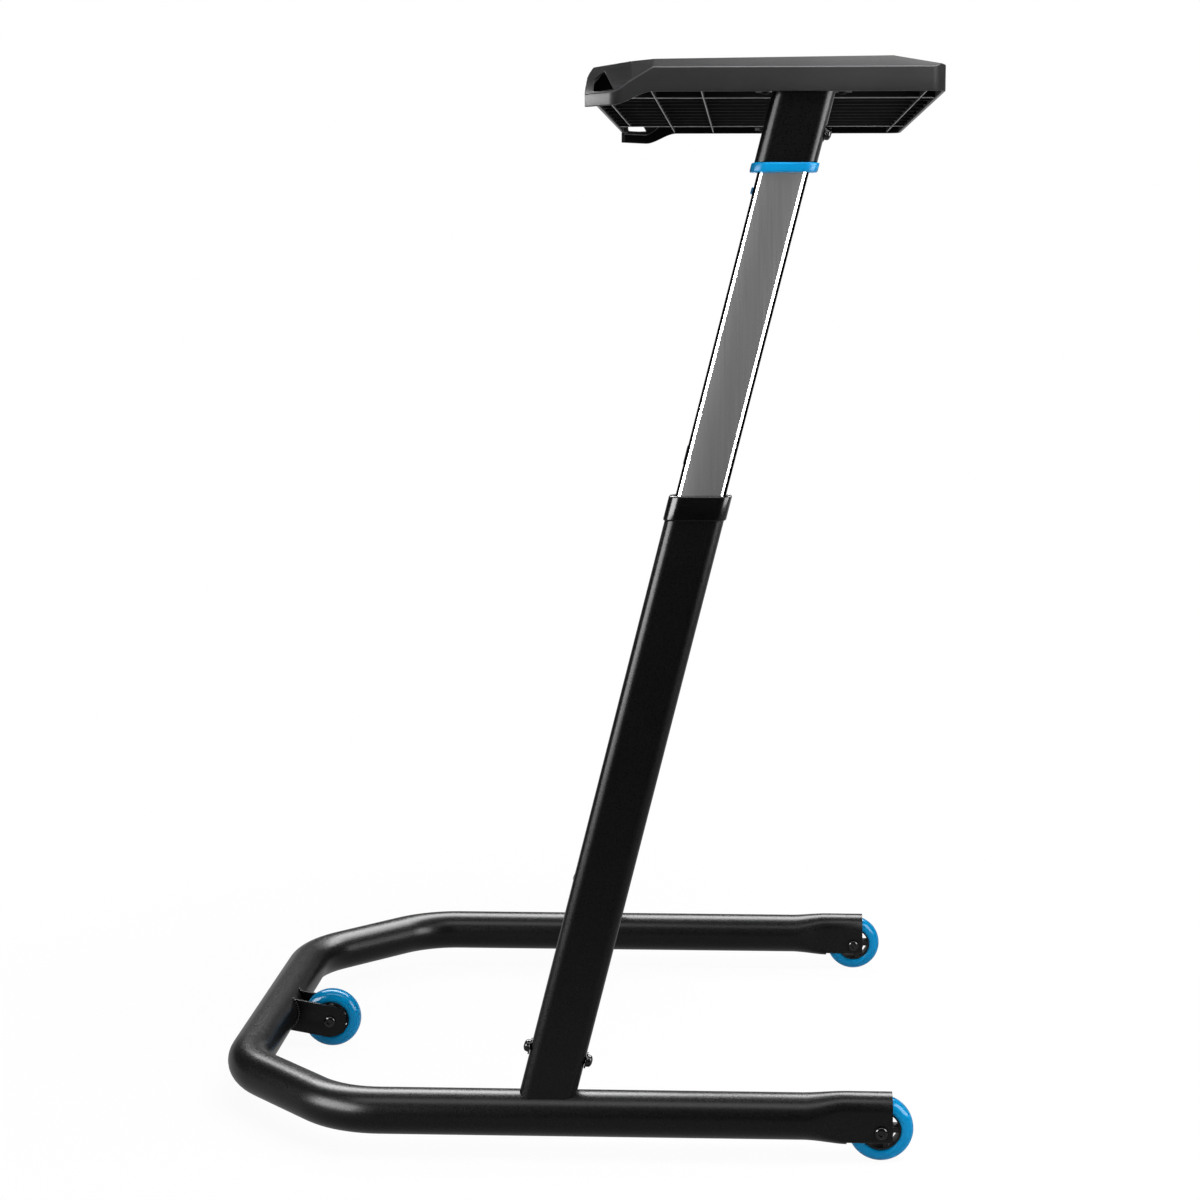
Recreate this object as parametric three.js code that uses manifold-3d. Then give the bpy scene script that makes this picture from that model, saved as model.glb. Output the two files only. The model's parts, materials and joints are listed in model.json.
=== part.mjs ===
// Height-adjustable desk that a rider rolls over the front of a bike on an indoor trainer.
// A bent steel tube stands on three small wheels and carries two leaning telescopic posts,
// which hold a moulded plastic desktop with a ribbed underside.
// Frame: +X towards the rider, +Y to the far leg, +Z up.
// The origin is the middle of the footprint, on the floor.
import * as THREE from "three";
import { mergeVertices } from "three/addons/utils/BufferGeometryUtils.js";
import Module from "manifold-3d";

const wasm = await Module();
wasm.setup();

// Sizes in millimetres, angles in radians.
const overallLength = 811; // front tube's outer edge to the rider's edge of the desktop
const legSpacing = 700; // between the leg centrelines
const fitGap = 0.3; // between pieces that touch
const slideGap = 0.35; // between pieces that slide in each other
const overrun = 2; // how far a cut runs past a face
const mergeDistance = 0.0001; // between points that are one corner

// Wheels, all three alike
const wheelRadius = 36;
const tyreWidth = 24;
const tyreBoreRadius = 24.3;
const tyreShoulder = 2; // from the bore to where the tread starts to curve
const tyreChamfer = 1.5;
const treadFlat = 3;
const hubWidth = 20;
const hubRimThickness = 2.6;
const hubCoreRadius = 14;
const spokeThickness = 4.5;
const spokeWidth = 12; // along the axle
const bearingRadius = 11;
const bearingWidth = 7;
const bearingRecess = 0.4;
const innerRaceRadius = 6.2;
const outerRaceInnerRadius = 9;
const shieldRecess = 0.6;
const hubThroatRadius = 9;

// Axles: a hollow barrel with a head at one end and a screw with a head at the other
const axleRadius = 4;
const axleHeadRadius = 7;
const axleHeadHeight = 3.4;
const axleHeadDome = 1.2;
const axleScrewRadius = 2.4;
const axleScrewDepth = 14;
const axleSocketRadius = 2.6;
const axleSocketDepth = 2;
const spacerRadius = 7;

// Base tube
const tubeRadius = 25.4;
const tubeWall = 2;
const bendRadius = 108;
const cornerCut = 137; // along X and along Y, between the two bends of a front corner
const legRise = 11.5; // leg centreline above the axles
const rearAxleInset = 53; // from the rider's end of the overall length
const legEndBeyondAxle = 12.5;
const wheelSideGap = 4.2; // wheel to the inside of a cheek
const wheelTopGap = 1.6;
const endHeight = 57; // height of the squashed leg end
const endLowerCorner = 8.4; // height of its lower rounding
const slotGap = 1.5; // tyre to the front edge of the slot below it
const cheekBelowAxle = 12;
const squashLength = 58; // where the round tube turns flat sided

// Front wheel bracket
const frontAxleBehindTube = 65;
const plateThickness = 3;
const plateHalfWidth = 20;

// Posts, in section across and along the desk's width
const postLean = THREE.MathUtils.degToRad(14.15);
const postFootX = -18; // where the post's axis meets the leg's centreline
const postWidth = 61.2;
const postDepth = 30;
const postCorner = 12;
const postWall = 2;
const postFishmouthStart = 10; // above the leg's centreline, before the leg's shape is cut out
const innerWidth = 51.8;
const innerDepth = 21;
const innerCorner = 6;
const innerWall = 1.8;
const innerOverlap = 233; // of the inner post in the lower post, upright
const innerTopGap = 12; // from the inner post's top to the plate above it

// Stub that the post stands on
const stubHeight = 92; // above the leg's centreline
const stubWall = 3;
const crossSleeveRadius = 8;
const footBoltAlong = 70; // from the leg's centreline, along the post

// Bolts with two washers, as on the feet and the sleeves
const boltRadius = 4;
const boltShank = 14;
const boltHeadRadius = 6.6;
const boltHeadHeight = 4.4;
const boltCrownRadius = 4.2;
const boltSocketRadius = 2.5;
const boltSocketDepth = 2.6;
const washerRadius = 9;
const washerThickness = 1.7;
const lockWasherRadius = 6.9;
const lockWasherThickness = 1.6;

// Collar on top of each lower post, with the bushing that guides the inner post
const collarTopZ = 730.5;
const collarHeight = 26.5;
const collarWidth = 65.2;
const collarDepth = 34;
const collarCorner = 13.5;
const collarLip = 3.4;
const bushingLength = 50;

// Glide on the lower end of each inner post
const glideHeight = 12;
const glidePlug = 18;

// Height lock on the inward face of each lower post
const lockBelowCollarTop = 80.5;
const lockBossRadius = 12;
const lockBossLength = 14;
const lockStudRadius = 4;
const lockPadRadius = 6.5;
const knobRadius = 15;
const knobLobe = 1.6;
const knobThickness = 13;
const knobNeckRadius = 9;
const knobNeckLength = 4;
const knobLobes = 6;

// Sleeve, collar and plate at the top of each post
const sleeveLength = 71.8; // below the desktop's side edge
const upperCollarHeight = 9.9;
const upperCollarWidth = 68.8;
const upperCollarDepth = 37;
const upperCollarCorner = 14.5;
const upperCollarPlug = 15;
const plateRise = 3.2; // sleeve plate above the desktop's side edge
const sleevePlateThickness = 3;
const sleevePlateLength = 101;
const sleevePlateOutward = 17; // from the post's centre plane
const sleevePlateInward = 45;
const upperBoltAlong = 1102; // from the leg's centreline, along the post
const insertHeight = 26;
const insertBelowBolt = 13;

// Desktop
const deskEdgeZ = 1149.8; // lower edge of the side walls
const deskDepth = 374;
const deskOverhang = 24; // from a leg's centreline to the desktop's side
const deskWallHeight = 24.7;
const deskBevelHeight = 11.3;
const deskBevelInset = 12;
const deskWall = 3;
const riderSlopeDepth = 54;
const riderEdgeRise = 1;
const riderCornerRadius = 14;
const rearRimDrop = 13.5; // rear rim's lower edge below the side walls' edge
const rearRimHeight = 12.9;
const rimRampStart = 31; // from the rear end, on the side walls
const rimRampLength = 42;
const rearChamfer = 33;
const scoopInset = 35;
const scoopPitch = THREE.MathUtils.degToRad(50);
const rearSlopeDepth = 74.5;
const rearSlopeDrop = 31;
const rearProfileShares = [
  [0, 1],
  [0.05, 0.5],
  [0.11, 0.3],
  [0.27, 0.2],
  [1, 0],
];
const windowFromRear = 9.5; // opening in each rear corner
const windowLength = 27;
const windowTopLength = 11;
const windowHeight = 22;
const windowRearHeight = 14;
const windowAboveRim = 2.5;
const windowReach = 45;
const recessDepth = 1;
const recessMargin = 30; // from the bevel's inner edge
const recessCorner = 16;
const recessFromRear = 78;
const ribThickness = 2;
const longRibThickness = 3;
const longRibSpan = 500; // between the two long ribs
const fineRibCount = 8;
const longRibRise = 1.7; // lower edge above the side walls' edge
const fineRibRise = 2.6;
const crossRibRise = 1.3;
const crossRibFromRear = [17.5, 70.5, 122.5, 355.5];
const bossRadius = 6;
const plateScrewSpanX = 81;
const plateScrewOutward = 10; // from the post's centre plane
const plateScrewInward = 33;

// Places that follow from the sizes above
const axleZ = wheelRadius;
const legZ = axleZ + legRise;
const frontTubeX = -overallLength / 2 + tubeRadius;
const rearAxleX = overallLength / 2 - rearAxleInset;
const legEndX = rearAxleX + legEndBeyondAxle;
const legY = legSpacing / 2;
const frontAxleX = frontTubeX + frontAxleBehindTube;
const cheekInside = tyreWidth / 2 + wheelSideGap;
const cheekOutside = cheekInside + tubeWall;
const endTopZ = 2 * wheelRadius + wheelTopGap + tubeWall;
const endBottomZ = endTopZ - endHeight;
const slotFrontX = rearAxleX - wheelRadius - slotGap;
const plateOutside = cheekInside + plateThickness;
const deskRiderX = overallLength / 2;
const deskRearX = deskRiderX - deskDepth;
const deskWidth = legSpacing + 2 * deskOverhang;
const deskCreaseZ = deskEdgeZ + deskWallHeight;
const deskTopZ = deskCreaseZ + deskBevelHeight;
const rimBottomZ = deskEdgeZ - rearRimDrop;
const rimTopZ = rimBottomZ + rearRimHeight;
const plateBottomZ = deskEdgeZ + plateRise;
const plateTopZ = plateBottomZ + sleevePlateThickness;
const sleeveBottomZ = deskEdgeZ - sleeveLength;
const upperCollarBottomZ = sleeveBottomZ - upperCollarHeight;
const postInsideWidth = postWidth - 2 * postWall;
const postInsideDepth = postDepth - 2 * postWall;
const postInsideCorner = postCorner - postWall;
const innerBottomZ = collarTopZ - innerOverlap;
const lockZ = collarTopZ - lockBelowCollarTop;

const ringPoints = 16;
const wheelPoints = 24;
const smallPoints = 12;
const arcSteps = 3;

// Solids: turning geometry into closed bodies, and cutting and joining them
function solid(geometry, matrix) {
  const bare = new THREE.BufferGeometry();
  bare.setAttribute("position", geometry.getAttribute("position").clone());
  if (geometry.index) bare.setIndex(geometry.index.clone());
  if (matrix) bare.applyMatrix4(matrix);
  const merged = mergeVertices(bare, mergeDistance);
  return new wasm.Manifold(
    new wasm.Mesh({
      numProp: 3,
      vertProperties: merged.attributes.position.array,
      triVerts: new Uint32Array(merged.index.array),
    }),
  );
}

function geometryOf(body) {
  const mesh = body.getMesh();
  const geometry = new THREE.BufferGeometry();
  geometry.setAttribute("position", new THREE.BufferAttribute(mesh.vertProperties, 3));
  geometry.setIndex(new THREE.BufferAttribute(mesh.triVerts, 1));
  return geometry;
}

function box(low, high) {
  const size = high.map((value, i) => value - low[i]);
  const middle = high.map((value, i) => (value + low[i]) / 2);
  return solid(new THREE.BoxGeometry(...size), new THREE.Matrix4().makeTranslation(...middle));
}

// A cylinder between two points.
function rod(from, to, radius, points = smallPoints) {
  const a = new THREE.Vector3(...from);
  const b = new THREE.Vector3(...to);
  const along = b.clone().sub(a);
  const turn = new THREE.Quaternion().setFromUnitVectors(
    new THREE.Vector3(0, 1, 0),
    along.clone().normalize(),
  );
  const matrix = new THREE.Matrix4().compose(a.add(b).divideScalar(2), turn, new THREE.Vector3(1, 1, 1));
  return solid(new THREE.CylinderGeometry(radius, radius, along.length(), points), matrix);
}

// A profile of [radius, place along the axis], turned round the Y axis with a flat to the floor.
function turned(profile, points = smallPoints) {
  return new THREE.LatheGeometry(
    profile.map(([radius, along]) => new THREE.Vector2(radius, along)),
    points,
    Math.PI / points,
  );
}

// Rings joined each to the next, and the last to the first or both ends closed over.
function loft(rings, closesOnItself) {
  const count = rings[0].length;
  const vertices = rings.flat();
  const faces = [];
  const spans = closesOnItself ? rings.length : rings.length - 1;
  for (let i = 0; i < spans; i++) {
    const here = i * count;
    const next = ((i + 1) % rings.length) * count;
    for (let k = 0; k < count; k++) {
      const l = (k + 1) % count;
      faces.push(here + k, here + l, next + l, here + k, next + l, next + k);
    }
  }
  if (!closesOnItself) {
    const last = (rings.length - 1) * count;
    for (let k = 1; k < count - 1; k++) {
      faces.push(0, k + 1, k, last, last + k, last + k + 1);
    }
  }
  const geometry = new THREE.BufferGeometry().setFromPoints(vertices);
  geometry.setIndex(faces);
  return geometry;
}

function roundedRectangle(width, depth, corner) {
  const x = width / 2 - corner;
  const y = depth / 2 - corner;
  const quarter = Math.PI / 2;
  const shape = new THREE.Shape();
  shape.absarc(x, y, corner, 0, quarter);
  shape.absarc(-x, y, corner, quarter, 2 * quarter);
  shape.absarc(-x, -y, corner, 2 * quarter, 3 * quarter);
  shape.absarc(x, -y, corner, 3 * quarter, 4 * quarter);
  shape.closePath();
  return shape;
}

function extruded(shape, depth, segments = arcSteps) {
  return new THREE.ExtrudeGeometry(shape, { depth, bevelEnabled: false, curveSegments: segments });
}

const rise = (z) => z - legZ;
const leanX = (z) => postFootX + rise(z) * Math.tan(postLean);

// A post's section cut level at two heights and leaning with the post, on the plane Y = 0.
function leaningPrism(width, depth, corner, bottomZ, topZ) {
  const matrix = new THREE.Matrix4().set(
    ...[1 / Math.cos(postLean), 0, Math.tan(postLean), leanX(bottomZ)],
    ...[0, 1, 0, 0],
    ...[0, 0, 1, bottomZ],
    ...[0, 0, 0, 1],
  );
  return solid(extruded(roundedRectangle(width, depth, corner), topZ - bottomZ), matrix);
}

// A place given along the post from the leg's centreline, and square across it.
function onPost(along, across, y = 0) {
  const sine = Math.sin(postLean);
  const cosine = Math.cos(postLean);
  return [postFootX + along * sine + across * cosine, y, legZ + along * cosine - across * sine];
}

function named(name, geometry, material) {
  const mesh = new THREE.Mesh(geometry, material);
  mesh.name = name;
  return mesh;
}

function finish(color, roughness, metalness) {
  return new THREE.MeshStandardMaterial({ color, roughness, metalness });
}

const powderCoat = finish("#1b1b1c", 0.42, 0.3);
const anodised = finish("#b9bbbd", 0.32, 0.9);
const blackPlastic = finish("#1d1d1e", 0.55, 0);
const texturedPlastic = finish("#2a2a2b", 0.6, 0);
const bluePlastic = finish("#0086cf", 0.35, 0);
const bluePolyurethane = finish("#0a93dc", 0.22, 0);
const blackSteel = finish("#161617", 0.35, 0.7);
const bearingSteel = finish("#8d9093", 0.3, 0.95);
const nylon = finish("#2b2b2b", 0.5, 0);

// One leg-height section of the base tube: round at squash 0, flat sided and taller at squash 1.
function tubeSection(squash, inset) {
  const cheek = cheekOutside / Math.cos(Math.PI / ringPoints);
  const half = THREE.MathUtils.lerp(tubeRadius, cheek, squash) - inset;
  const top = THREE.MathUtils.lerp(tubeRadius, endTopZ - legZ, squash) - inset;
  const bottom = THREE.MathUtils.lerp(tubeRadius, legZ - endBottomZ, squash) - inset;
  const corner = THREE.MathUtils.lerp(tubeRadius, endLowerCorner, squash) - inset;
  return Array.from({ length: ringPoints }, (_, k) => {
    const angle = ((k + 0.5) / ringPoints) * 2 * Math.PI;
    const upper = Math.sin(angle) > 0;
    const centre = upper ? top - half : corner - bottom;
    return [half * Math.cos(angle), centre + (upper ? half : corner) * Math.sin(angle)];
  });
}

// The base tube's stations from the near leg's end round to the far leg's end.
function baseStations() {
  const cornerX = frontTubeX + cornerCut;
  const frontY = legY - cornerCut;
  const corners = [
    [cornerX, -legY],
    [frontTubeX, -frontY],
    [frontTubeX, frontY],
    [cornerX, legY],
  ].map(([x, y]) => new THREE.Vector3(x, y, legZ));
  const start = new THREE.Vector3(legEndX, -legY, legZ);
  const end = new THREE.Vector3(legEndX, legY, legZ);
  const leg = [[0, 1]];
  const squashSteps = 4;
  for (let i = 0; i <= squashSteps; i++) {
    const t = i / squashSteps;
    leg.push([legEndX - slotFrontX + t * squashLength, 1 - THREE.MathUtils.smoothstep(t, 0, 1)]);
  }
  const along = new THREE.Vector3(-1, 0, 0);
  const stations = leg.map(([distance, squash]) => ({
    at: start.clone().addScaledVector(along, distance),
    along,
    squash,
  }));
  corners.forEach((corner, i) => {
    const before = i ? corners[i - 1] : start;
    const after = i < corners.length - 1 ? corners[i + 1] : end;
    const into = corner.clone().sub(before).normalize();
    const out = after.clone().sub(corner).normalize();
    const turn = into.angleTo(out);
    const side = new THREE.Vector3(into.y, -into.x, 0);
    const first = corner.clone().addScaledVector(into, -bendRadius * Math.tan(turn / 2));
    const centre = first.clone().addScaledVector(side, bendRadius);
    const up = new THREE.Vector3(0, 0, 1);
    for (let k = 0; k <= arcSteps; k++) {
      const angle = (-turn * k) / arcSteps;
      const at = first.clone().sub(centre).applyAxisAngle(up, angle).add(centre);
      stations.push({ at, along: into.clone().applyAxisAngle(up, angle), squash: 0 });
    }
  });
  const back = new THREE.Vector3(1, 0, 0);
  leg
    .slice()
    .reverse()
    .forEach(([distance, squash]) => {
      stations.push({ at: end.clone().addScaledVector(along, distance), along: back, squash });
    });
  return stations;
}

// The bent tube with squashed, slotted ends for the rear wheels.
function baseTube() {
  const ring = (inset) => (station) => {
    const side = new THREE.Vector3(-station.along.y, station.along.x, 0);
    return tubeSection(station.squash, inset).map(([across, up]) =>
      station.at.clone().addScaledVector(side, across).add(new THREE.Vector3(0, 0, up)),
    );
  };
  const stations = baseStations();
  const outside = stations.map(ring(0));
  const inside = stations.map(ring(tubeWall)).reverse();
  let tube = solid(loft([...outside, ...inside], true));
  for (const y of [-legY, legY]) {
    const slot = box(
      [slotFrontX, y - tubeRadius, endBottomZ - overrun],
      [legEndX + overrun, y + tubeRadius, axleZ - cheekBelowAxle],
    );
    const hole = rod(
      [rearAxleX, y - tubeRadius, axleZ],
      [rearAxleX, y + tubeRadius, axleZ],
      axleRadius + fitGap,
    );
    tube = tube.subtract(slot).subtract(hole);
  }
  return geometryOf(tube);
}

// Cuts the leg's round top out of a piece that stands on it, on the plane Y = 0.
function clearOfLeg(body) {
  const from = [postFootX - postWidth, 0, legZ];
  const to = [postFootX + postWidth, 0, legZ];
  return body.subtract(rod(from, to, tubeRadius + fitGap, 2 * ringPoints));
}

function boltHole(along, fromAcross, toAcross) {
  return rod(onPost(along, fromAcross), onPost(along, toAcross), boltRadius + fitGap);
}

function lowerPost() {
  const topZ = collarTopZ - collarLip - fitGap;
  const bottomZ = legZ + postFishmouthStart;
  const outside = leaningPrism(postWidth, postDepth, postCorner, bottomZ, topZ);
  const inside = leaningPrism(
    postInsideWidth,
    postInsideDepth,
    postInsideCorner,
    bottomZ - overrun,
    topZ + overrun,
  );
  const lockHole = rod([leanX(lockZ), 0, lockZ], [leanX(lockZ), postDepth, lockZ], lockStudRadius + fitGap);
  return geometryOf(
    clearOfLeg(outside.subtract(inside))
      .subtract(boltHole(footBoltAlong, -postWidth, postWidth))
      .subtract(lockHole),
  );
}

function postStub() {
  const width = postInsideWidth - 2 * fitGap;
  const depth = postInsideDepth - 2 * fitGap;
  const corner = postInsideCorner - fitGap;
  const bottomZ = legZ + postFishmouthStart;
  const topZ = legZ + stubHeight;
  const outside = leaningPrism(width, depth, corner, bottomZ, topZ);
  const inside = leaningPrism(
    width - 2 * stubWall,
    depth - 2 * stubWall,
    corner - stubWall,
    bottomZ - overrun,
    topZ + overrun,
  );
  const reach = width / 2 - stubWall / 2;
  const sleeve = rod(onPost(footBoltAlong, -reach), onPost(footBoltAlong, reach), crossSleeveRadius);
  return geometryOf(
    clearOfLeg(outside.subtract(inside).add(sleeve)).subtract(
      boltHole(footBoltAlong, -postWidth, postWidth),
    ),
  );
}

// Shank, flat washer, spring washer and domed head with a socket, along +Y from the face it seats on.
function washeredBolt() {
  const washer = fitGap + washerThickness;
  const spring = washer + lockWasherThickness;
  const head = spring + boltHeadHeight;
  return turned([
    [0, -boltShank],
    [boltRadius, -boltShank],
    [boltRadius, fitGap],
    [washerRadius, fitGap],
    [washerRadius, washer],
    [lockWasherRadius, washer],
    [lockWasherRadius, spring],
    [boltHeadRadius, spring],
    [(boltHeadRadius + boltCrownRadius) / 2, head - boltHeadHeight / 5],
    [boltCrownRadius, head],
    [boltSocketRadius, head],
    [boltSocketRadius, head - boltSocketDepth],
    [0, head - boltSocketDepth],
  ]);
}

// A bolt that enters a post's narrow side: towards is -1 on the side away from the rider, 1 on the rider's.
function sideBolt(name, along, width, towards) {
  const mesh = named(name, washeredBolt(), blackSteel);
  mesh.position.set(...onPost(along, (towards * width) / 2));
  mesh.rotation.set(0, postLean, towards > 0 ? -Math.PI / 2 : Math.PI / 2, "YXZ");
  return mesh;
}

function lowerCollar() {
  const bottomZ = collarTopZ - collarHeight;
  const seatZ = collarTopZ - collarLip;
  const outside = leaningPrism(collarWidth, collarDepth, collarCorner, bottomZ, collarTopZ);
  const socket = leaningPrism(
    postWidth + 2 * fitGap,
    postDepth + 2 * fitGap,
    postCorner + fitGap,
    bottomZ - overrun,
    seatZ,
  );
  const bushing = leaningPrism(
    postInsideWidth - 2 * fitGap,
    postInsideDepth - 2 * fitGap,
    postInsideCorner - fitGap,
    seatZ - bushingLength,
    seatZ + collarLip / 2,
  );
  const passage = leaningPrism(
    innerWidth + 2 * slideGap,
    innerDepth + 2 * slideGap,
    innerCorner + slideGap,
    seatZ - bushingLength - overrun,
    collarTopZ + overrun,
  );
  return geometryOf(outside.subtract(socket).add(bushing).subtract(passage));
}

function lockBoss() {
  const from = postDepth / 2 + fitGap;
  const place = (y) => [leanX(lockZ), y, lockZ];
  const boss = rod(place(from), place(from + lockBossLength), lockBossRadius, ringPoints);
  const bore = rod(place(0), place(postDepth + lockBossLength), lockStudRadius + fitGap);
  return geometryOf(boss.subtract(bore));
}

// Lobed knob with its threaded stud, which turns about Y.
function lockKnob() {
  const face = postDepth / 2 + lockBossLength + 2 * fitGap;
  const place = (y) => [leanX(lockZ), y, lockZ];
  const outline = new THREE.Shape(
    Array.from({ length: 2 * ringPoints }, (_, k) => {
      const angle = (k / ringPoints) * Math.PI;
      const radius = knobRadius - knobLobe + knobLobe * Math.cos(knobLobes * angle);
      return new THREE.Vector2(radius * Math.cos(angle), radius * Math.sin(angle));
    }),
  );
  const matrix = new THREE.Matrix4()
    .makeTranslation(...place(face + knobNeckLength + knobThickness))
    .multiply(new THREE.Matrix4().makeRotationX(Math.PI / 2));
  const grip = solid(extruded(outline, knobThickness), matrix);
  const neck = rod(place(face), place(face + knobNeckLength + knobThickness / 2), knobNeckRadius);
  const tip = innerDepth / 2 + fitGap + padThickness() + fitGap;
  const stud = rod(place(tip), place(face + knobNeckLength), lockStudRadius);
  return geometryOf(grip.add(neck).add(stud));
}

// The pad fills the space between the inner post and the lower post's wall.
function padThickness() {
  return (postInsideDepth - innerDepth) / 2 - 2 * fitGap;
}

function lockPad() {
  const from = innerDepth / 2 + fitGap;
  return turnedAt(
    [leanX(lockZ), from, lockZ],
    [
      [0, 0],
      [lockPadRadius, 0],
      [lockPadRadius, padThickness()],
      [0, padThickness()],
    ],
  );
}

// A turned piece on an axis along Y, with its zero at a place.
function turnedAt(place, profile, points = smallPoints) {
  return turned(profile, points).translate(...place);
}

function innerPost() {
  const topZ = plateBottomZ - innerTopGap;
  const outside = leaningPrism(innerWidth, innerDepth, innerCorner, innerBottomZ, topZ);
  const inside = leaningPrism(
    innerWidth - 2 * innerWall,
    innerDepth - 2 * innerWall,
    innerCorner - innerWall,
    innerBottomZ - overrun,
    topZ + overrun,
  );
  return geometryOf(outside.subtract(inside).subtract(boltHole(upperBoltAlong, 0, postWidth)));
}

function insidePost(bottomZ, topZ) {
  return leaningPrism(
    innerWidth - 2 * innerWall - 2 * fitGap,
    innerDepth - 2 * innerWall - 2 * fitGap,
    innerCorner - innerWall - fitGap,
    bottomZ,
    topZ,
  );
}

function postGlide() {
  const topZ = innerBottomZ - fitGap;
  const foot = leaningPrism(
    postInsideWidth - 2 * slideGap,
    postInsideDepth - 2 * slideGap,
    postInsideCorner - slideGap,
    topZ - glideHeight,
    topZ,
  );
  return geometryOf(foot.add(insidePost(topZ - glideHeight / 2, topZ + glidePlug)));
}

// Threaded block that the sleeve's bolt is screwed into.
function postInsert() {
  const boltZ = onPost(upperBoltAlong, 0)[2];
  const block = insidePost(boltZ - insertBelowBolt, boltZ - insertBelowBolt + insertHeight);
  return geometryOf(block.subtract(boltHole(upperBoltAlong, 0, postWidth)));
}

function upperCollar() {
  const ring = leaningPrism(
    upperCollarWidth,
    upperCollarDepth,
    upperCollarCorner,
    upperCollarBottomZ,
    sleeveBottomZ,
  );
  const plug = leaningPrism(
    postInsideWidth - 2 * fitGap,
    postInsideDepth - 2 * fitGap,
    postInsideCorner - fitGap,
    sleeveBottomZ - upperCollarHeight / 2,
    sleeveBottomZ + upperCollarPlug,
  );
  const passage = leaningPrism(
    innerWidth + 2 * fitGap,
    innerDepth + 2 * fitGap,
    innerCorner + fitGap,
    upperCollarBottomZ - overrun,
    sleeveBottomZ + upperCollarPlug + overrun,
  );
  return geometryOf(ring.add(plug).subtract(passage));
}

function upperSleeve() {
  const bottomZ = sleeveBottomZ + fitGap;
  const topZ = plateBottomZ - fitGap;
  const outside = leaningPrism(postWidth, postDepth, postCorner, bottomZ, topZ);
  const inside = leaningPrism(
    postInsideWidth,
    postInsideDepth,
    postInsideCorner,
    bottomZ - overrun,
    topZ + overrun,
  );
  return geometryOf(outside.subtract(inside).subtract(boltHole(upperBoltAlong, 0, postWidth)));
}

function sleevePlate() {
  const middle = leanX(plateBottomZ);
  return geometryOf(
    box(
      [middle - sleevePlateLength / 2, -sleevePlateOutward, plateBottomZ],
      [middle + sleevePlateLength / 2, sleevePlateInward, plateTopZ],
    ),
  );
}

// Tyre section round the axle. The tread's flats, not its corners, lie on the wheel's radius.
function tyre(place) {
  const half = tyreWidth / 2;
  const shoulder = tyreBoreRadius + tyreShoulder;
  const grow = 1 / Math.cos(Math.PI / wheelPoints);
  const side = [
    [tyreBoreRadius, half - tyreChamfer],
    [tyreBoreRadius + tyreChamfer, half],
  ];
  const treadSteps = 3;
  for (let k = 0; k <= treadSteps; k++) {
    const angle = ((k / treadSteps) * Math.PI) / 2;
    const across = treadFlat / 2 + (half - treadFlat / 2) * Math.cos(angle);
    side.push([shoulder + (wheelRadius * grow - shoulder) * Math.sin(angle), across]);
  }
  const mirrored = side.map(([radius, across]) => [radius, -across]);
  const profile = [...mirrored, ...side.slice().reverse()];
  return turnedAt(place, [...profile, profile[0]], wheelPoints);
}

// Plastic hub: rim, core with two bearing seats, and spokes between them.
function hub(place) {
  const rimOutside = tyreBoreRadius - fitGap;
  const rimInside = rimOutside - hubRimThickness;
  const half = hubWidth / 2;
  const core = tyreWidth / 2;
  const seat = bearingRadius;
  const shelf = core - bearingRecess - bearingWidth - fitGap;
  const ring = (inside, outside, width) => [
    [inside, -width],
    [outside, -width],
    [outside, width],
    [inside, width],
    [inside, -width],
  ];
  const rim = solid(turned(ring(rimInside, rimOutside, half), wheelPoints));
  const middle = solid(
    turned(
      [
        [hubThroatRadius, -shelf],
        [seat, -shelf],
        [seat, -core],
        [hubCoreRadius, -core],
        [hubCoreRadius, core],
        [seat, core],
        [seat, shelf],
        [hubThroatRadius, shelf],
        [hubThroatRadius, -shelf],
      ],
      wheelPoints,
    ),
  );
  let body = rim.add(middle);
  const spokes = 5;
  const reach = (rimInside + rimOutside) / 2;
  for (let k = 0; k < spokes; k++) {
    const spoke = solid(
      new THREE.BoxGeometry(reach - seat - fitGap, spokeWidth, spokeThickness).translate(
        (reach + seat + fitGap) / 2,
        0,
        0,
      ),
      new THREE.Matrix4().makeRotationY((k / spokes) * 2 * Math.PI),
    );
    body = body.add(spoke);
  }
  return geometryOf(body).translate(...place);
}

// Ball bearing as one body: races and shield, with its outer face towards +Y or -Y.
function bearing(place, outward) {
  const outside = tyreWidth / 2 - bearingRecess;
  const inside = outside - bearingWidth;
  const outer = bearingRadius - fitGap;
  const bore = axleRadius + fitGap;
  const shield = outside - shieldRecess;
  const profile = [
    [bore, inside],
    [outer, inside],
    [outer, outside],
    [outerRaceInnerRadius, outside],
    [outerRaceInnerRadius, shield],
    [innerRaceRadius, shield],
    [innerRaceRadius, outside],
    [bore, outside],
    [bore, inside],
  ];
  const facing = outward > 0 ? profile : profile.map(([radius, along]) => [radius, -along]).reverse();
  return turnedAt(place, facing);
}

// Washer-like spacer between a bearing's inner race and the cheek outside it.
function spacer(place, outward) {
  const from = tyreWidth / 2 - bearingRecess + fitGap;
  const to = cheekInside - fitGap;
  const bore = axleRadius + fitGap;
  const profile = [
    [bore, from],
    [innerRaceRadius, from],
    [spacerRadius, from + bearingRecess],
    [spacerRadius, to],
    [bore, to],
    [bore, from],
  ];
  const facing = outward > 0 ? profile : profile.map(([radius, along]) => [radius, -along]).reverse();
  return turnedAt(place, facing);
}

// Head with a domed edge and a socket, as part of a profile that ends on the axis.
function headProfile(faceAt) {
  return [
    [axleHeadRadius, faceAt],
    [axleHeadRadius, faceAt + axleHeadHeight - axleHeadDome],
    [axleHeadRadius - axleHeadDome, faceAt + axleHeadHeight],
    [axleSocketRadius, faceAt + axleHeadHeight],
    [axleSocketRadius, faceAt + axleHeadHeight - axleSocketDepth],
    [0, faceAt + axleHeadHeight - axleSocketDepth],
  ];
}

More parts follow.
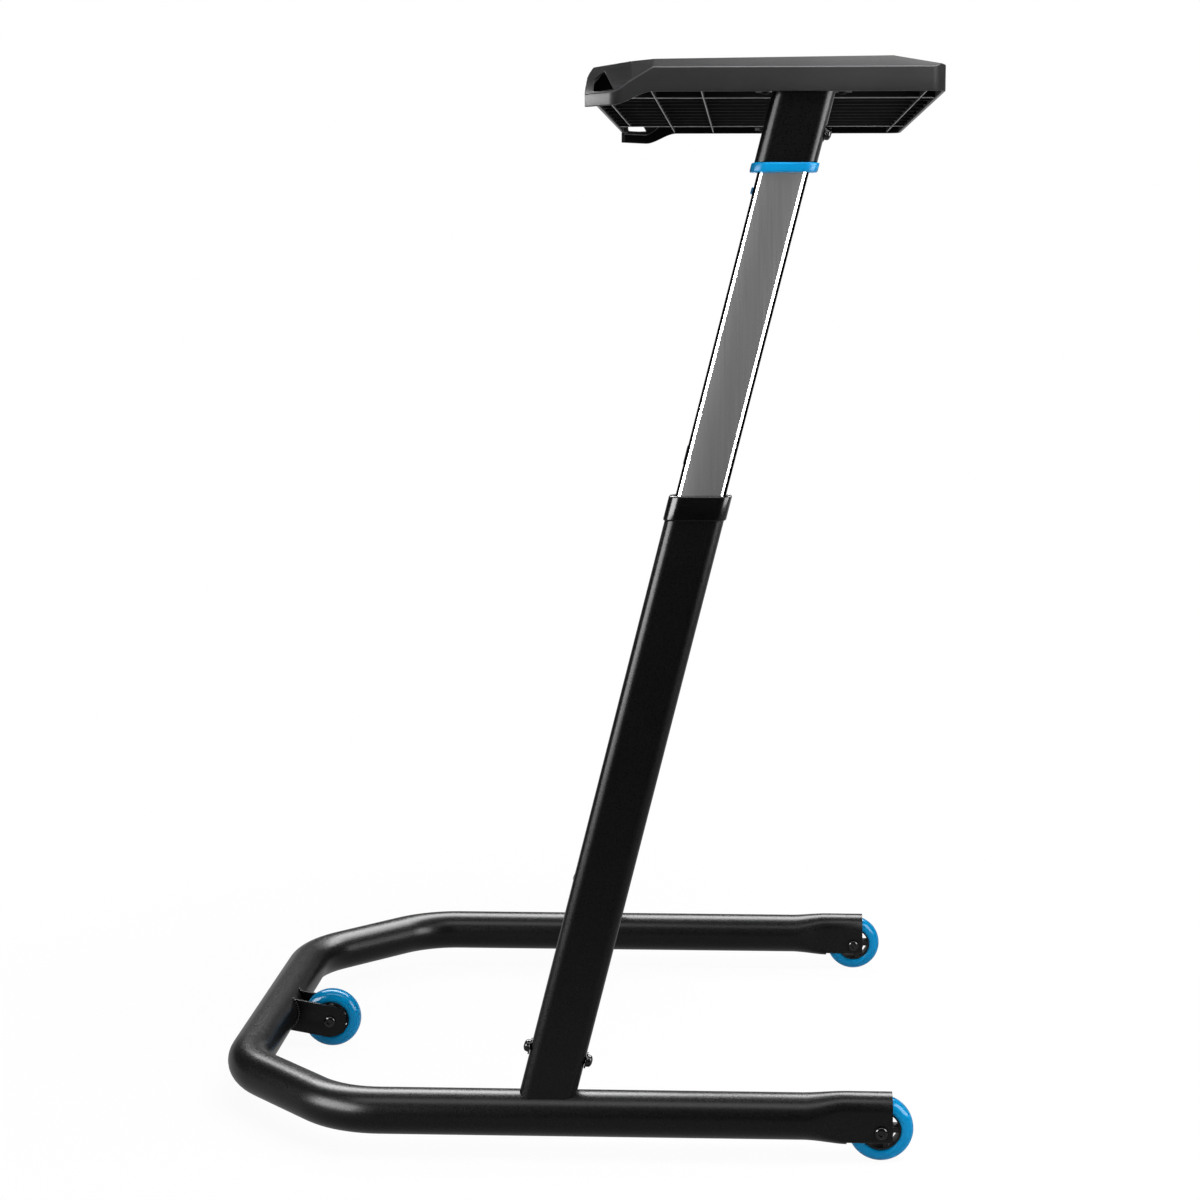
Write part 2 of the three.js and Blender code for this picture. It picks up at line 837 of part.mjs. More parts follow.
function axleBarrel(place, outside, outward) {
  const bore = axleScrewRadius + fitGap;
  const end = fitGap - outside;
  const profile = [
    [0, end + axleScrewDepth + fitGap],
    [bore, end + axleScrewDepth + fitGap],
    [bore, end],
    [axleRadius, end],
    [axleRadius, outside + fitGap],
    ...headProfile(outside + fitGap),
  ];
  return facingAlong(place, profile, outward);
}

function axleScrew(place, outside, outward) {
  const face = outside + fitGap;
  const profile = [
    [0, outside - axleScrewDepth],
    [axleScrewRadius, outside - axleScrewDepth],
    [axleScrewRadius, face],
    ...headProfile(face),
  ];
  return facingAlong(place, profile, outward);
}

function facingAlong(place, profile, outward) {
  const facing = outward > 0 ? profile : profile.map(([radius, along]) => [radius, -along]).reverse();
  return turnedAt(place, facing);
}

// A wheel with its axle. The barrel's head is on the side that outward gives.
function wheelPieces(name, place, outside, outward) {
  return [
    named(`${name}_tyre`, tyre(place), bluePolyurethane),
    named(`${name}_wheel_hub`, hub(place), blackPlastic),
    named(`${name}_wheel_bearing_a`, bearing(place, 1), bearingSteel),
    named(`${name}_wheel_bearing_b`, bearing(place, -1), bearingSteel),
    named(`${name}_axle_spacer_a`, spacer(place, 1), blackSteel),
    named(`${name}_axle_spacer_b`, spacer(place, -1), blackSteel),
    named(`${name}_axle_barrel`, axleBarrel(place, outside, outward), blackSteel),
    named(`${name}_axle_screw`, axleScrew(place, outside, -outward), blackSteel),
  ];
}

// Plate from the front tube to the front axle, with its inner face beside the wheel.
function frontWheelPlate() {
  const dropToAxle = Math.atan2(legRise, frontAxleBehindTube);
  const length = Math.hypot(legRise, frontAxleBehindTube);
  const shape = new THREE.Shape();
  shape.moveTo(-length, plateHalfWidth);
  shape.lineTo(-length, -plateHalfWidth);
  shape.absarc(0, 0, plateHalfWidth, -Math.PI / 2, Math.PI / 2);
  shape.closePath();
  const matrix = new THREE.Matrix4()
    .makeTranslation(frontAxleX, -cheekInside, axleZ)
    .multiply(new THREE.Matrix4().makeRotationY(dropToAxle))
    .multiply(new THREE.Matrix4().makeRotationX(Math.PI / 2));
  const plate = solid(extruded(shape, plateThickness, ringPoints / 2), matrix);
  const across = [-plateOutside - overrun, -cheekInside + overrun];
  const tube = rod(
    [frontTubeX, across[0], legZ],
    [frontTubeX, across[1], legZ],
    tubeRadius + fitGap,
    2 * ringPoints,
  );
  const hole = rod(
    [frontAxleX, across[0], axleZ],
    [frontAxleX, across[1], axleZ],
    axleRadius + fitGap,
  );
  return geometryOf(plate.subtract(tube).subtract(hole));
}

// Desktop: one cross-section of the skin at a distance from the rear end, inset by a wall.
function deskSection(fromRear, inset, lower) {
  const ramp = THREE.MathUtils.clamp((fromRear - rimRampStart) / rimRampLength, 0, 1);
  const softRamp = THREE.MathUtils.smoothstep(ramp, 0, 1);
  const fromRider = Math.min(1, (deskDepth - fromRear) / riderSlopeDepth);
  const creaseZ = THREE.MathUtils.lerp(rimTopZ, deskCreaseZ, ramp) - inset / 2;
  const bottomZ = THREE.MathUtils.lerp(rimBottomZ, deskEdgeZ, softRamp) - lower;
  const sideInset = THREE.MathUtils.lerp(scoopInset, deskBevelInset, ramp);
  const bevel = THREE.MathUtils.lerp(riderEdgeRise, sideInset, fromRider) + inset / 2;
  const crown = THREE.MathUtils.lerp(riderEdgeRise, deskBevelHeight, fromRider);
  const topZ = deskCreaseZ + crown - rearDrop(fromRear) - inset;
  const half = deskWidth / 2 - inset;
  return [
    [half, bottomZ],
    [half, creaseZ],
    [half - bevel, topZ],
    [bevel - half, topZ],
    [-half, creaseZ],
    [-half, bottomZ],
  ].map(([y, z]) => new THREE.Vector3(deskRearX + fromRear, y, z));
}

// How far the top lies below its full height near the rear end.
function rearDrop(fromRear) {
  const share = Math.min(1, fromRear / rearSlopeDepth);
  const after = Math.max(
    1,
    rearProfileShares.findIndex(([place]) => place >= share),
  );
  const [placeA, dropA] = rearProfileShares[after - 1];
  const [placeB, dropB] = rearProfileShares[after];
  return rearSlopeDrop * THREE.MathUtils.mapLinear(share, placeA, placeB, dropA, dropB);
}

function deskStations() {
  const rampSteps = 8;
  const places = rearProfileShares.map(([share]) => share * rearSlopeDepth);
  for (let k = 0; k <= rampSteps; k++) places.push(rimRampStart + (k / rampSteps) * rimRampLength);
  places.push(deskDepth - riderSlopeDepth, deskDepth);
  return [...new Set(places)].sort((a, b) => a - b);
}

function deskLoft(inset, lower) {
  return solid(loft(deskStations().map((place) => deskSection(place, inset, lower))));
}

// The desktop's outline from above, grown inwards by a wall.
function deskOutline(inset) {
  const half = deskWidth / 2 - inset;
  const rear = inset;
  const rider = deskDepth - inset;
  const radius = riderCornerRadius - inset;
  const cut = rearChamfer - inset * (2 - Math.SQRT2);
  const shape = new THREE.Shape();
  shape.moveTo(rear + cut, half);
  shape.lineTo(rear, half - cut);
  shape.lineTo(rear, cut - half);
  shape.lineTo(rear + cut, -half);
  shape.absarc(rider - radius, radius - half, radius, -Math.PI / 2, 0);
  shape.absarc(rider - radius, half - radius, radius, 0, Math.PI / 2);
  shape.closePath();
  const matrix = new THREE.Matrix4().makeTranslation(deskRearX, 0, rimBottomZ - overrun);
  return solid(extruded(shape, deskTopZ - rimBottomZ + 2 * overrun), matrix);
}

// Everything above the scooped rear corner on the far side (side 1) or the near side (side -1).
function scoop(side, inset) {
  const reach = 2 * rearSlopeDepth;
  const alongRim = new THREE.Vector3(1, side, 0).normalize();
  const inward = new THREE.Vector3(1, -side, 0).normalize();
  const uphill = inward
    .multiplyScalar(Math.cos(scoopPitch))
    .add(new THREE.Vector3(0, 0, Math.sin(scoopPitch)));
  const away = new THREE.Vector3().crossVectors(alongRim, uphill).multiplyScalar(-side);
  const rim = new THREE.Vector3(
    deskRearX + rearChamfer / 2,
    side * (deskWidth / 2 - rearChamfer / 2),
    rimTopZ,
  );
  const middle = rim.addScaledVector(away, reach / 2 - inset);
  const matrix = new THREE.Matrix4().makeBasis(alongRim.multiplyScalar(-side), uphill, away);
  matrix.setPosition(middle);
  return solid(new THREE.BoxGeometry(reach, reach, reach), matrix);
}

function deskSkin(inset, lower) {
  return deskLoft(inset, lower)
    .intersect(deskOutline(inset))
    .subtract(scoop(1, inset))
    .subtract(scoop(-1, inset));
}

// Ribs on the underside: long ones from rear to rider, and cross ones from side to side.
function deskRibs() {
  const half = deskWidth / 2;
  const longRib = (y, thickness, rise) =>
    box([deskRearX, y - thickness / 2, deskEdgeZ + rise], [deskRiderX, y + thickness / 2, deskTopZ]);
  const bays = fineRibCount + 1;
  let ribs = longRib(-longRibSpan / 2, longRibThickness, longRibRise);
  ribs = ribs.add(longRib(longRibSpan / 2, longRibThickness, longRibRise));
  for (let k = 1; k < bays; k++) {
    ribs = ribs.add(longRib(longRibSpan * (k / bays - 0.5), ribThickness, fineRibRise));
  }
  for (const place of crossRibFromRear) {
    const x = deskRearX + place;
    ribs = ribs.add(
      box([x - ribThickness / 2, -half, deskEdgeZ + crossRibRise], [x + ribThickness / 2, half, deskTopZ]),
    );
  }
  for (const side of [-1, 1]) {
    for (const offset of [plateScrewOutward, -plateScrewInward]) {
      for (const end of [-0.5, 0.5]) {
        const x = leanX(plateBottomZ) + end * plateScrewSpanX;
        const y = side * (legY + offset);
        ribs = ribs.add(rod([x, y, plateTopZ + fitGap], [x, y, deskTopZ], bossRadius));
      }
    }
  }
  return ribs;
}

// The opening in a rear corner, lower towards the rear end.
function cornerWindow(side) {
  const shape = new THREE.Shape();
  shape.moveTo(0, 0);
  shape.lineTo(windowLength, 0);
  shape.lineTo(windowTopLength, windowHeight);
  shape.lineTo(0, windowRearHeight);
  shape.closePath();
  const outer = (side * deskWidth) / 2;
  const towardsNear = new THREE.Vector3(0, -1, 0);
  const matrix = new THREE.Matrix4().makeBasis(
    new THREE.Vector3(1, 0, 0),
    new THREE.Vector3(0, 0, 1),
    towardsNear,
  );
  const start = Math.max(outer, outer - side * windowReach) + overrun;
  matrix.setPosition(deskRearX + windowFromRear, start, rimTopZ + windowAboveRim);
  return solid(extruded(shape, windowReach + 2 * overrun), matrix);
}

function desktop() {
  const skin = deskSkin(0, 0);
  const hollow = deskSkin(deskWall, overrun);
  const ribs = deskRibs().intersect(deskSkin(deskWall / 2, 0));
  let body = skin.subtract(hollow).add(ribs);
  const betweenCorners = box(
    [deskRearX - overrun, rearChamfer - deskWidth / 2, rimBottomZ - overrun],
    [deskRearX + rimRampStart, deskWidth / 2 - rearChamfer, deskEdgeZ],
  );
  body = body.subtract(betweenCorners).subtract(cornerWindow(1)).subtract(cornerWindow(-1));
  const recessEnd = deskDepth - riderSlopeDepth - recessMargin / 2;
  const recess = roundedRectangle(
    recessEnd - recessFromRear,
    deskWidth - 2 * (deskBevelInset + recessMargin),
    recessCorner,
  );
  const place = new THREE.Matrix4().makeTranslation(
    deskRearX + (recessFromRear + recessEnd) / 2,
    0,
    deskTopZ - recessDepth,
  );
  return geometryOf(body.subtract(solid(extruded(recess, recessDepth + overrun), place)));
}

// What stands on one leg, built on the near side. The far side is its mirror image.
function sideAssembly(side) {
  const onLeg = new THREE.Group();
  onLeg.position.y = -legY;
  onLeg.add(
    named(`${side}_post_stub`, postStub(), powderCoat),
    named(`${side}_lower_post`, lowerPost(), powderCoat),
    sideBolt(`${side}_foot_bolt_front`, footBoltAlong, postWidth, -1),
    sideBolt(`${side}_foot_bolt_rear`, footBoltAlong, postWidth, 1),
    named(`${side}_lower_collar`, lowerCollar(), blackPlastic),
    named(`${side}_lock_boss`, lockBoss(), powderCoat),
    named(`${side}_lock_knob`, lockKnob(), blackPlastic),
    named(`${side}_lock_pad`, lockPad(), nylon),
    named(`${side}_inner_post`, innerPost(), anodised),
    named(`${side}_post_glide`, postGlide(), nylon),
    named(`${side}_post_insert`, postInsert(), blackSteel),
    named(`${side}_upper_collar`, upperCollar(), bluePlastic),
    named(`${side}_upper_sleeve`, upperSleeve(), powderCoat),
    sideBolt(`${side}_upper_bolt`, upperBoltAlong, postWidth, 1),
    named(`${side}_sleeve_plate`, sleevePlate(), powderCoat),
    ...wheelPieces(`${side}_rear`, [rearAxleX, 0, axleZ], cheekOutside, -1),
  );
  const group = new THREE.Group();
  group.add(onLeg);
  group.scale.y = side === "near" ? 1 : -1;
  return group;
}

function frontWheel() {
  const group = new THREE.Group();
  group.add(...wheelPieces("front", [frontAxleX, 0, axleZ], plateOutside, -1));
  for (const side of ["near", "far"]) {
    const plate = named(`front_wheel_plate_${side}`, frontWheelPlate(), powderCoat);
    plate.scale.y = side === "near" ? 1 : -1;
    group.add(plate);
  }
  return group;
}

const desk = new THREE.Group();
desk.add(
  named("base_tube", baseTube(), powderCoat),
  sideAssembly("near"),
  sideAssembly("far"),
  frontWheel(),
  named("desktop", desktop(), texturedPlastic),
);

export default desk;
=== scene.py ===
import bmesh
import bpy
import json
import math
from mathutils import Matrix, Vector

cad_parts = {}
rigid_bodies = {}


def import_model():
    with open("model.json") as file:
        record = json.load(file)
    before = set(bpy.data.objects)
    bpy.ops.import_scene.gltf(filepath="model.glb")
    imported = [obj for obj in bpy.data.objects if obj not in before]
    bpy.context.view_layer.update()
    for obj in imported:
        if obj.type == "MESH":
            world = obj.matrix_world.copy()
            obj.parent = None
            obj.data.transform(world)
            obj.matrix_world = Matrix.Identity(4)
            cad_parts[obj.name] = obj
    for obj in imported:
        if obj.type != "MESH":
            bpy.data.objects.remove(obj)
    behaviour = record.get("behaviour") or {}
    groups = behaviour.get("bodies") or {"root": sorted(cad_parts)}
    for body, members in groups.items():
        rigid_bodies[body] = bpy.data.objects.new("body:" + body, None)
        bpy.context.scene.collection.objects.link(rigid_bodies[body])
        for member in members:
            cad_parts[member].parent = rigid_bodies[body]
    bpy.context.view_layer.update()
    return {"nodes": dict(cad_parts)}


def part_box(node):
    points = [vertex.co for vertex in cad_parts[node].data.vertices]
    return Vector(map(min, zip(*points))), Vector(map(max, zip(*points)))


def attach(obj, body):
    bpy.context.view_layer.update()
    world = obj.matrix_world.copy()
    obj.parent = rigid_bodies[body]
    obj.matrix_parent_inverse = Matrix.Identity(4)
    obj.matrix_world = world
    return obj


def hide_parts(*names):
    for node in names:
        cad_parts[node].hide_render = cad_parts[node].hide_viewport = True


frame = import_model()
nodes = frame["nodes"]
mm = 0.001

# Clearances that the whole desk shares, in millimetres
fitGap = 0.3  # between pieces that touch
slideGap = 0.35  # between pieces that slide in each other
tubeGap = 0.2  # around the base tube, where other pieces are cut to it
holeRadius = 4.3  # of the holes for axles and bolts

# The desk's own lines, in millimetres: everything below hangs on these
desk = dict(
    legSpacing=700, legHeight=47.5, postFootX=-18, postLean=math.radians(14.15),
    axleHeight=36, rearAxleX=352.5, frontAxleX=-315.1, frontTubeX=-380.1,
    edgeZ=1149.8, rearX=31.5, width=748,
)
tanLean = math.tan(desk["postLean"])
cosLean = math.cos(desk["postLean"])
sinLean = math.sin(desk["postLean"])
legY = desk["legSpacing"] / 2


def leanX(z):
    return desk["postFootX"] + (z - desk["legHeight"]) * tanLean


def onPost(along, across, y=0):
    x = desk["postFootX"] + along * sinLean + across * cosLean
    return Vector((x, y, desk["legHeight"] + along * cosLean - across * sinLean))


def lerp(a, b, t):
    return a + (b - a) * t


def quarterRound(radius, steps):
    # how far a rounded edge lies in from each of its two faces, over a quarter turn
    angles = [k / steps * math.pi / 2 for k in range(steps + 1)]
    return [(radius * (1 - math.sin(a)), radius * (1 - math.cos(a))) for a in angles]


# Mesh helpers
def hexColour(code):
    parts = [int(code[i:i + 2], 16) / 255 for i in (1, 3, 5)]
    linear = [c / 12.92 if c <= 0.04045 else ((c + 0.055) / 1.055) ** 2.4 for c in parts]
    return (*linear, 1.0)


def makePiece(name, points, faces):
    mesh = bpy.data.meshes.new(name)
    mesh.from_pydata([Vector(p) * mm for p in points], [], faces)
    piece = bpy.data.objects.new(name, mesh)
    bpy.context.scene.collection.objects.link(piece)
    return piece


def loftFaces(ringCount, pointCount, closed, start=0):
    faces = []
    for i in range(ringCount if closed else ringCount - 1):
        a, b = start + i * pointCount, start + ((i + 1) % ringCount) * pointCount
        for k in range(pointCount):
            n = (k + 1) % pointCount
            faces.append((a + k, a + n, b + n, b + k))
    if not closed:
        last = start + (ringCount - 1) * pointCount
        faces.append(tuple(start + k for k in reversed(range(pointCount))))
        faces.append(tuple(last + k for k in range(pointCount)))
    return faces


def loftPiece(name, rings, closed=False):
    points = [p for ring in rings for p in ring]
    return makePiece(name, points, loftFaces(len(rings), len(rings[0]), closed))


def roundedRing(width, depth, corner, steps=10):
    # counter-clockwise from above, with a point just inside each end of the flats
    ring = []
    x, y, edge = width / 2 - corner, depth / 2 - corner, min(0.4, corner / 8)
    for quarter, (sx, sy) in enumerate(((1, 1), (-1, 1), (-1, -1), (1, -1))):
        first = quarter * math.pi / 2
        arc = []
        for k in range(steps + 1):
            angle = first + k / steps * math.pi / 2
            arc.append((sx * x + corner * math.cos(angle), sy * y + corner * math.sin(angle)))
        before = (arc[0][0] + edge * math.sin(first), arc[0][1] - edge * math.cos(first))
        end = first + math.pi / 2
        after = (arc[-1][0] - edge * math.sin(end), arc[-1][1] + edge * math.cos(end))
        ring += [before, *arc, after]
    return ring


def cornerCurve(before, here, after, reach, steps):
    # rounds one corner, from so far before it to so far behind it
    a = here + (before - here).normalized() * reach
    b = here + (after - here).normalized() * reach
    return [a * (1 - t) ** 2 + here * 2 * t * (1 - t) + b * t * t for t in (k / steps for k in range(steps + 1))]


def softened(profile, radius, steps=3):
    # rounds each corner of an open profile
    points = [Vector(p) for p in profile]
    out = points[:1]
    for before, here, after in zip(points, points[1:], points[2:]):
        reach = min(radius, (before - here).length * 0.45, (after - here).length * 0.45)
        out += cornerCurve(before, here, after, reach, steps)
    return [tuple(p) for p in out + points[-1:]]


def softenedLoop(corners, radius, steps=4):
    # the same for a closed one
    points = [Vector(p) for p in corners]
    loop = []
    for before, here, after in zip(points[-1:] + points, points, points[1:] + points[:1]):
        loop += cornerCurve(before, here, after, radius, steps)
    return [tuple(p) for p in loop]


def turnPiece(name, profile, place, axis, steps=64, closed=False):
    # profile of (radius, distance along the axis), from one end to the other
    turn = Vector(axis).to_track_quat("Z", "Y")
    points, faces, count = [], [], len(profile)
    for i in range(steps):
        angle = 2 * math.pi * i / steps
        points += [Vector(place) + turn @ Vector((r * math.cos(angle), r * math.sin(angle), d)) for r, d in profile]
        a, b = i * count, (i + 1) % steps * count
        for k in range(count if closed else count - 1):
            n = (k + 1) % count
            faces.append((a + k, b + k, b + n, a + n))
    piece = makePiece(name, points, faces)
    cleanUp(piece)
    return piece


def boreCutter(radius, place, axis, low=-60, high=60, steps=32):
    # a round bar that cuts a hole
    return turnPiece("boreCutter", [(0, low), (radius, low), (radius, high), (0, high)], place, axis, steps)


def cleanUp(piece, weld=1e-6, sliver=1e-7, flat=None):
    # welds doubled points, drops empty faces, joins flat ones if asked and turns them all outwards
    work = bmesh.new()
    work.from_mesh(piece.data)
    bmesh.ops.remove_doubles(work, verts=work.verts, dist=weld)
    bmesh.ops.dissolve_degenerate(work, edges=work.edges, dist=sliver)
    if flat:
        bmesh.ops.dissolve_limit(work, angle_limit=flat, verts=work.verts, edges=work.edges, delimit={"MATERIAL"})
    bmesh.ops.recalc_face_normals(work, faces=work.faces)
    work.to_mesh(piece.data)
    work.free()


def boxPiece(name, low, high):
    (x0, y0, z0), (x1, y1, z1) = low, high
    points = [(x, y, z) for z in (z0, z1) for x, y in ((x0, y0), (x1, y0), (x1, y1), (x0, y1))]
    return makePiece(name, points, loftFaces(2, 4, False))


def addModifier(piece, kind, **settings):
    modifier = piece.modifiers.new(kind.title(), kind)
    for key, value in settings.items():
        setattr(modifier, key, value)
    return modifier


def addBevel(piece, width, segments, angle, **more):
    addModifier(piece, "BEVEL", width=width * mm, segments=segments, limit_method="ANGLE",
                angle_limit=math.radians(angle), **more)


def bake(piece, sharpAngle=32):
    # turns the live modifiers into a plain mesh
    bpy.context.view_layer.update()
    graph = bpy.context.evaluated_depsgraph_get()
    mesh = bpy.data.meshes.new_from_object(piece.evaluated_get(graph))
    piece.modifiers.clear()
    old = piece.data
    piece.data = mesh
    mesh.name = piece.name
    bpy.data.meshes.remove(old)
    shade(piece, sharpAngle)
    return piece


def shade(piece, sharpAngle=32):
    for face in piece.data.polygons:
        face.use_smooth = True
    piece.data.set_sharp_from_angle(angle=math.radians(sharpAngle))
    return piece


def cut(piece, cutters, operation="DIFFERENCE"):
    for cutter in cutters:
        addModifier(piece, "BOOLEAN", object=cutter, operation=operation, solver="EXACT")
        bake(piece)
        mesh = cutter.data
        bpy.data.objects.remove(cutter)
        bpy.data.meshes.remove(mesh)
    return piece


def join(name, pieces):
    # one mesh out of several, in which each keeps its own material
    materials = list(dict.fromkeys(m for piece in pieces for m in piece.data.materials))
    work = bmesh.new()
    for piece in pieces:
        if materials:
            index = materials.index(piece.data.materials[0])
            for face in piece.data.polygons:
                face.material_index = index
        work.from_mesh(piece.data)
    mesh = bpy.data.meshes.new(name)
    work.to_mesh(mesh)
    work.free()
    for piece in pieces:
        old = piece.data
        bpy.data.objects.remove(piece)
        bpy.data.meshes.remove(old)
    whole = bpy.data.objects.new(name, mesh)
    bpy.context.scene.collection.objects.link(whole)
    for material in materials:
        mesh.materials.append(material)
    return whole


def dress(piece, material):
    piece.data.materials.clear()
    piece.data.materials.append(material)
    return piece


def settle(piece, body, slot, material, *replaced):
    # without a material the piece keeps those that it has
    if material:
        dress(piece, material)
    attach(piece, body)
    if replaced:
        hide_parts(*replaced)
    return piece


# Materials

def newMaterial(name):
    material = bpy.data.materials.new(name)
    material.use_nodes = True
    shader = material.node_tree.nodes["Principled BSDF"]
    return material, material.node_tree, shader


def setNode(tree, node, settings=None, links=None):
    # settings: property or input -> value; links: input -> (node, output)
    for key, value in (settings or {}).items():
        if isinstance(key, str) and key not in node.inputs:
            setattr(node, key, value)
        else:
            node.inputs[key].default_value = value
    for key, (source, output) in (links or {}).items():
        tree.links.new(source.outputs[output], node.inputs[key])
    return node


def addNode(tree, kind, settings=None, links=None):
    family = "ShaderNode" if tree.type == "SHADER" else "GeometryNode"
    return setNode(tree, tree.nodes.new(family + kind), settings, links)


def mottled(name, dark, light, roughness, grainMm, bumpMm, specular=0.5, metallic=0.0, coat=0.0, spread=0.06,
            blotchMm=60.0):
    # a finish with a fine relief, slow blotches in its colour and a roughness that wanders a little
    material, tree, shader = newMaterial(name)
    coords = addNode(tree, "TexCoord")
    grain = addNode(tree, "TexNoise", {"Scale": 1 / (grainMm * mm), "Detail": 3.0, "Roughness": 0.55},
                    {"Vector": (coords, "Object")})
    blotch = addNode(tree, "TexNoise", {"Scale": 1 / (blotchMm * mm), "Detail": 4.0}, {"Vector": (coords, "Object")})
    ramp = addNode(tree, "ValToRGB", None, {"Fac": (blotch, "Fac")})
    for element, place, colour in zip(ramp.color_ramp.elements, (0.35, 0.65), (dark, light)):
        element.position = place
        element.color = hexColour(colour)
    rough = addNode(tree, "MapRange", {"From Min": 0.3, "From Max": 0.7, "To Min": roughness - spread,
                                       "To Max": roughness + spread}, {"Value": (grain, "Fac")})
    bump = addNode(tree, "Bump", {"Strength": 1.0, "Distance": bumpMm * mm}, {"Height": (grain, "Fac")})
    setNode(tree, shader, {"Metallic": metallic, "Coat Weight": coat, "Coat Roughness": 0.08},
            {"Base Color": (ramp, "Color"), "Roughness": (rough, "Result"), "Normal": (bump, "Normal")})
    if not metallic:
        shader.inputs["Specular IOR Level"].default_value = specular
    return material


# Polyester powder coat baked on steel: a satin black whose faint orange peel softens every highlight
powderCoat = mottled("powderCoatSatin", "#040405", "#060607", 0.31, 1.6, 0.010, specular=0.2)
# ABS moulded in a spark-eroded tool: an even fine grain that scatters light into a charcoal sheen
grainedAbs = mottled("grainedAbs", "#252526", "#2b2b2c", 0.43, 0.9, 0.045, specular=0.3, spread=0.06)
# the inner side of the same moulding and its ribs, near black and hardly shiny: painted shade for the underside, where
# little light reaches
innerAbs = mottled("innerAbs", "#060606", "#090909", 0.6, 1.4, 0.03, specular=0.08)
# ABS painted a light grey along the lower edges of the long and cross ribs: a painted highlight where those edges
# catch the light
rubbedAbs = mottled("rubbedAbs", "#7c7c7d", "#888889", 0.35, 1.1, 0.01, specular=0.4)
# the same grained moulding along its crease, a shade lighter: a painted highlight along the crease
burnishedAbs = mottled("burnishedAbs", "#3c3c3e", "#444446", 0.34, 0.9, 0.02, specular=0.4)
# Moulded nylon, polished in the tool: the post collars, jet black with crisp reflections
glossNylon = mottled("glossNylon", "#050505", "#070707", 0.2, 3.0, 0.003, specular=0.3, spread=0.03)
# Plain moulded nylon: hubs, glides and lock knobs, with a dull even skin
plainNylon = mottled("plainNylon", "#0c0c0d", "#111112", 0.4, 1.2, 0.01, specular=0.3)
# Blue ABS collar: bright semi-gloss, coloured right through
blueAbs = mottled("blueAbs", "#0089c6", "#0090ce", 0.3, 2.0, 0.005, specular=0.15, spread=0.04)
# Cast polyurethane: a deep wet-looking blue under a clear mould skin
castPolyurethane = mottled("castPolyurethane", "#007bb0", "#0082b8", 0.14, 4.0, 0.002, specular=0.1, coat=0.14,
                           spread=0.02)
# Black oxide on machined steel: thin, oily and nearly mirror smooth
blackOxide = mottled("blackOxide", "#040405", "#060607", 0.14, 1.0, 0.003, specular=0.4, spread=0.03)
# Phosphated steel: plates and screws under the desktop, a dry black that hardly reflects
phosphatedSteel = mottled("phosphatedSteel", "#060606", "#0a0a0a", 0.65, 0.7, 0.02, specular=0.08)
# Ground bearing steel: bright with fine turning marks
groundSteel = mottled("groundSteel", "#6f7275", "#7b7e81", 0.26, 0.8, 0.003, metallic=1.0, spread=0.04)


def pippedRubber():
    # Moulded rubber mat: dull black with rows of low pips 4 mm apart that keep a tablet from sliding
    material = mottled("pippedRubber", "#141415", "#181819", 0.7, 1.5, 0.02, specular=0.3)
    tree = material.node_tree
    coords, oldBump, shader = (next(n for n in tree.nodes if n.type == kind)
                               for kind in ("TEX_COORD", "BUMP", "BSDF_PRINCIPLED"))
    pips = addNode(tree, "TexVoronoi", {"Scale": 250.0, "Randomness": 0.0}, {"Vector": (coords, "Object")})
    lift = addNode(tree, "MapRange", {"From Min": 0.18, "From Max": 0.34, "To Min": 1.0, "To Max": 0.0},
                   {"Value": (pips, "Distance")})
    bump = addNode(tree, "Bump", {"Strength": 1.0, "Distance": 0.35 * mm},
                   {"Height": (lift, "Result"), "Normal": (oldBump, "Normal")})
    tree.links.new(bump.outputs["Normal"], shader.inputs["Normal"])
    return material


def anodisedPostWithPaintedBands():
    # Extruded 6063 aluminium, clear anodised, with brushed faces. Its colour is painted by place across the section: a
    # slightly brighter painted highlight on the chamfers beside the flats, and painted shade, near black, on the
    # narrow sides
    material, tree, shader = newMaterial("anodisedAluminium")
    across = addNode(tree, "Attribute", {"attribute_name": "across"})
    side = addNode(tree, "Math", {"operation": "ABSOLUTE"}, {0: (across, "Fac")})
    paintedBands = addNode(tree, "ValToRGB", None, {"Fac": (side, 0)})
    # painted highlight on the chamfers (0.795 to 0.872 across), painted shade on the narrow sides beyond 0.884
    paintedBandStops = ((0.0, "#f2f2f2"), (0.785, "#f4f4f4"), (0.795, "#fcfcfc"), (0.872, "#fcfcfc"), (0.884, "#080809"))
    ramp = paintedBands.color_ramp
    while len(ramp.elements) < len(paintedBandStops):
        ramp.elements.new(0.5)
    for element, (place, colour) in zip(ramp.elements, paintedBandStops):
        element.position = place
        element.color = hexColour(colour)
    coords = addNode(tree, "TexCoord")
    # die lines 0.4 mm apart, drawn out along the post
    along = addNode(tree, "Mapping", {"Rotation": (0, -desk["postLean"], 0), "Scale": (2500, 2500, 12)},
                    {"Vector": (coords, "Object")})
    lines = addNode(tree, "TexNoise", {"Scale": 1.0, "Detail": 2.0}, {"Vector": (along, "Vector")})
    bump = addNode(tree, "Bump", {"Strength": 1.0, "Distance": 0.002 * mm}, {"Height": (lines, "Fac")})
    rough = addNode(tree, "MapRange", {"From Min": 0.3, "From Max": 0.7, "To Min": 0.2, "To Max": 0.27},
                    {"Value": (lines, "Fac")})
    setNode(tree, shader, {"Metallic": 1.0, "Specular Tint": hexColour("#606060")},
            {"Base Color": (paintedBands, "Color"), "Roughness": (rough, "Result"), "Normal": (bump, "Normal")})
    return material


mat = pippedRubber()
anodisedAluminium = anodisedPostWithPaintedBands()
print("materials made")

# Base tube

base = dict(radius=25.4, wall=2.0, bendRadius=108, cornerCut=137, legEndX=365, slotFrontX=315, squashLength=48,
            endHalfWidth=18.2, endTop=75.6, endBottom=18.6, endLowerCorner=8.4, around=48, bendSteps=10,
            squashSteps=14, slotTop=24, slotReach=30, edge=0.5)


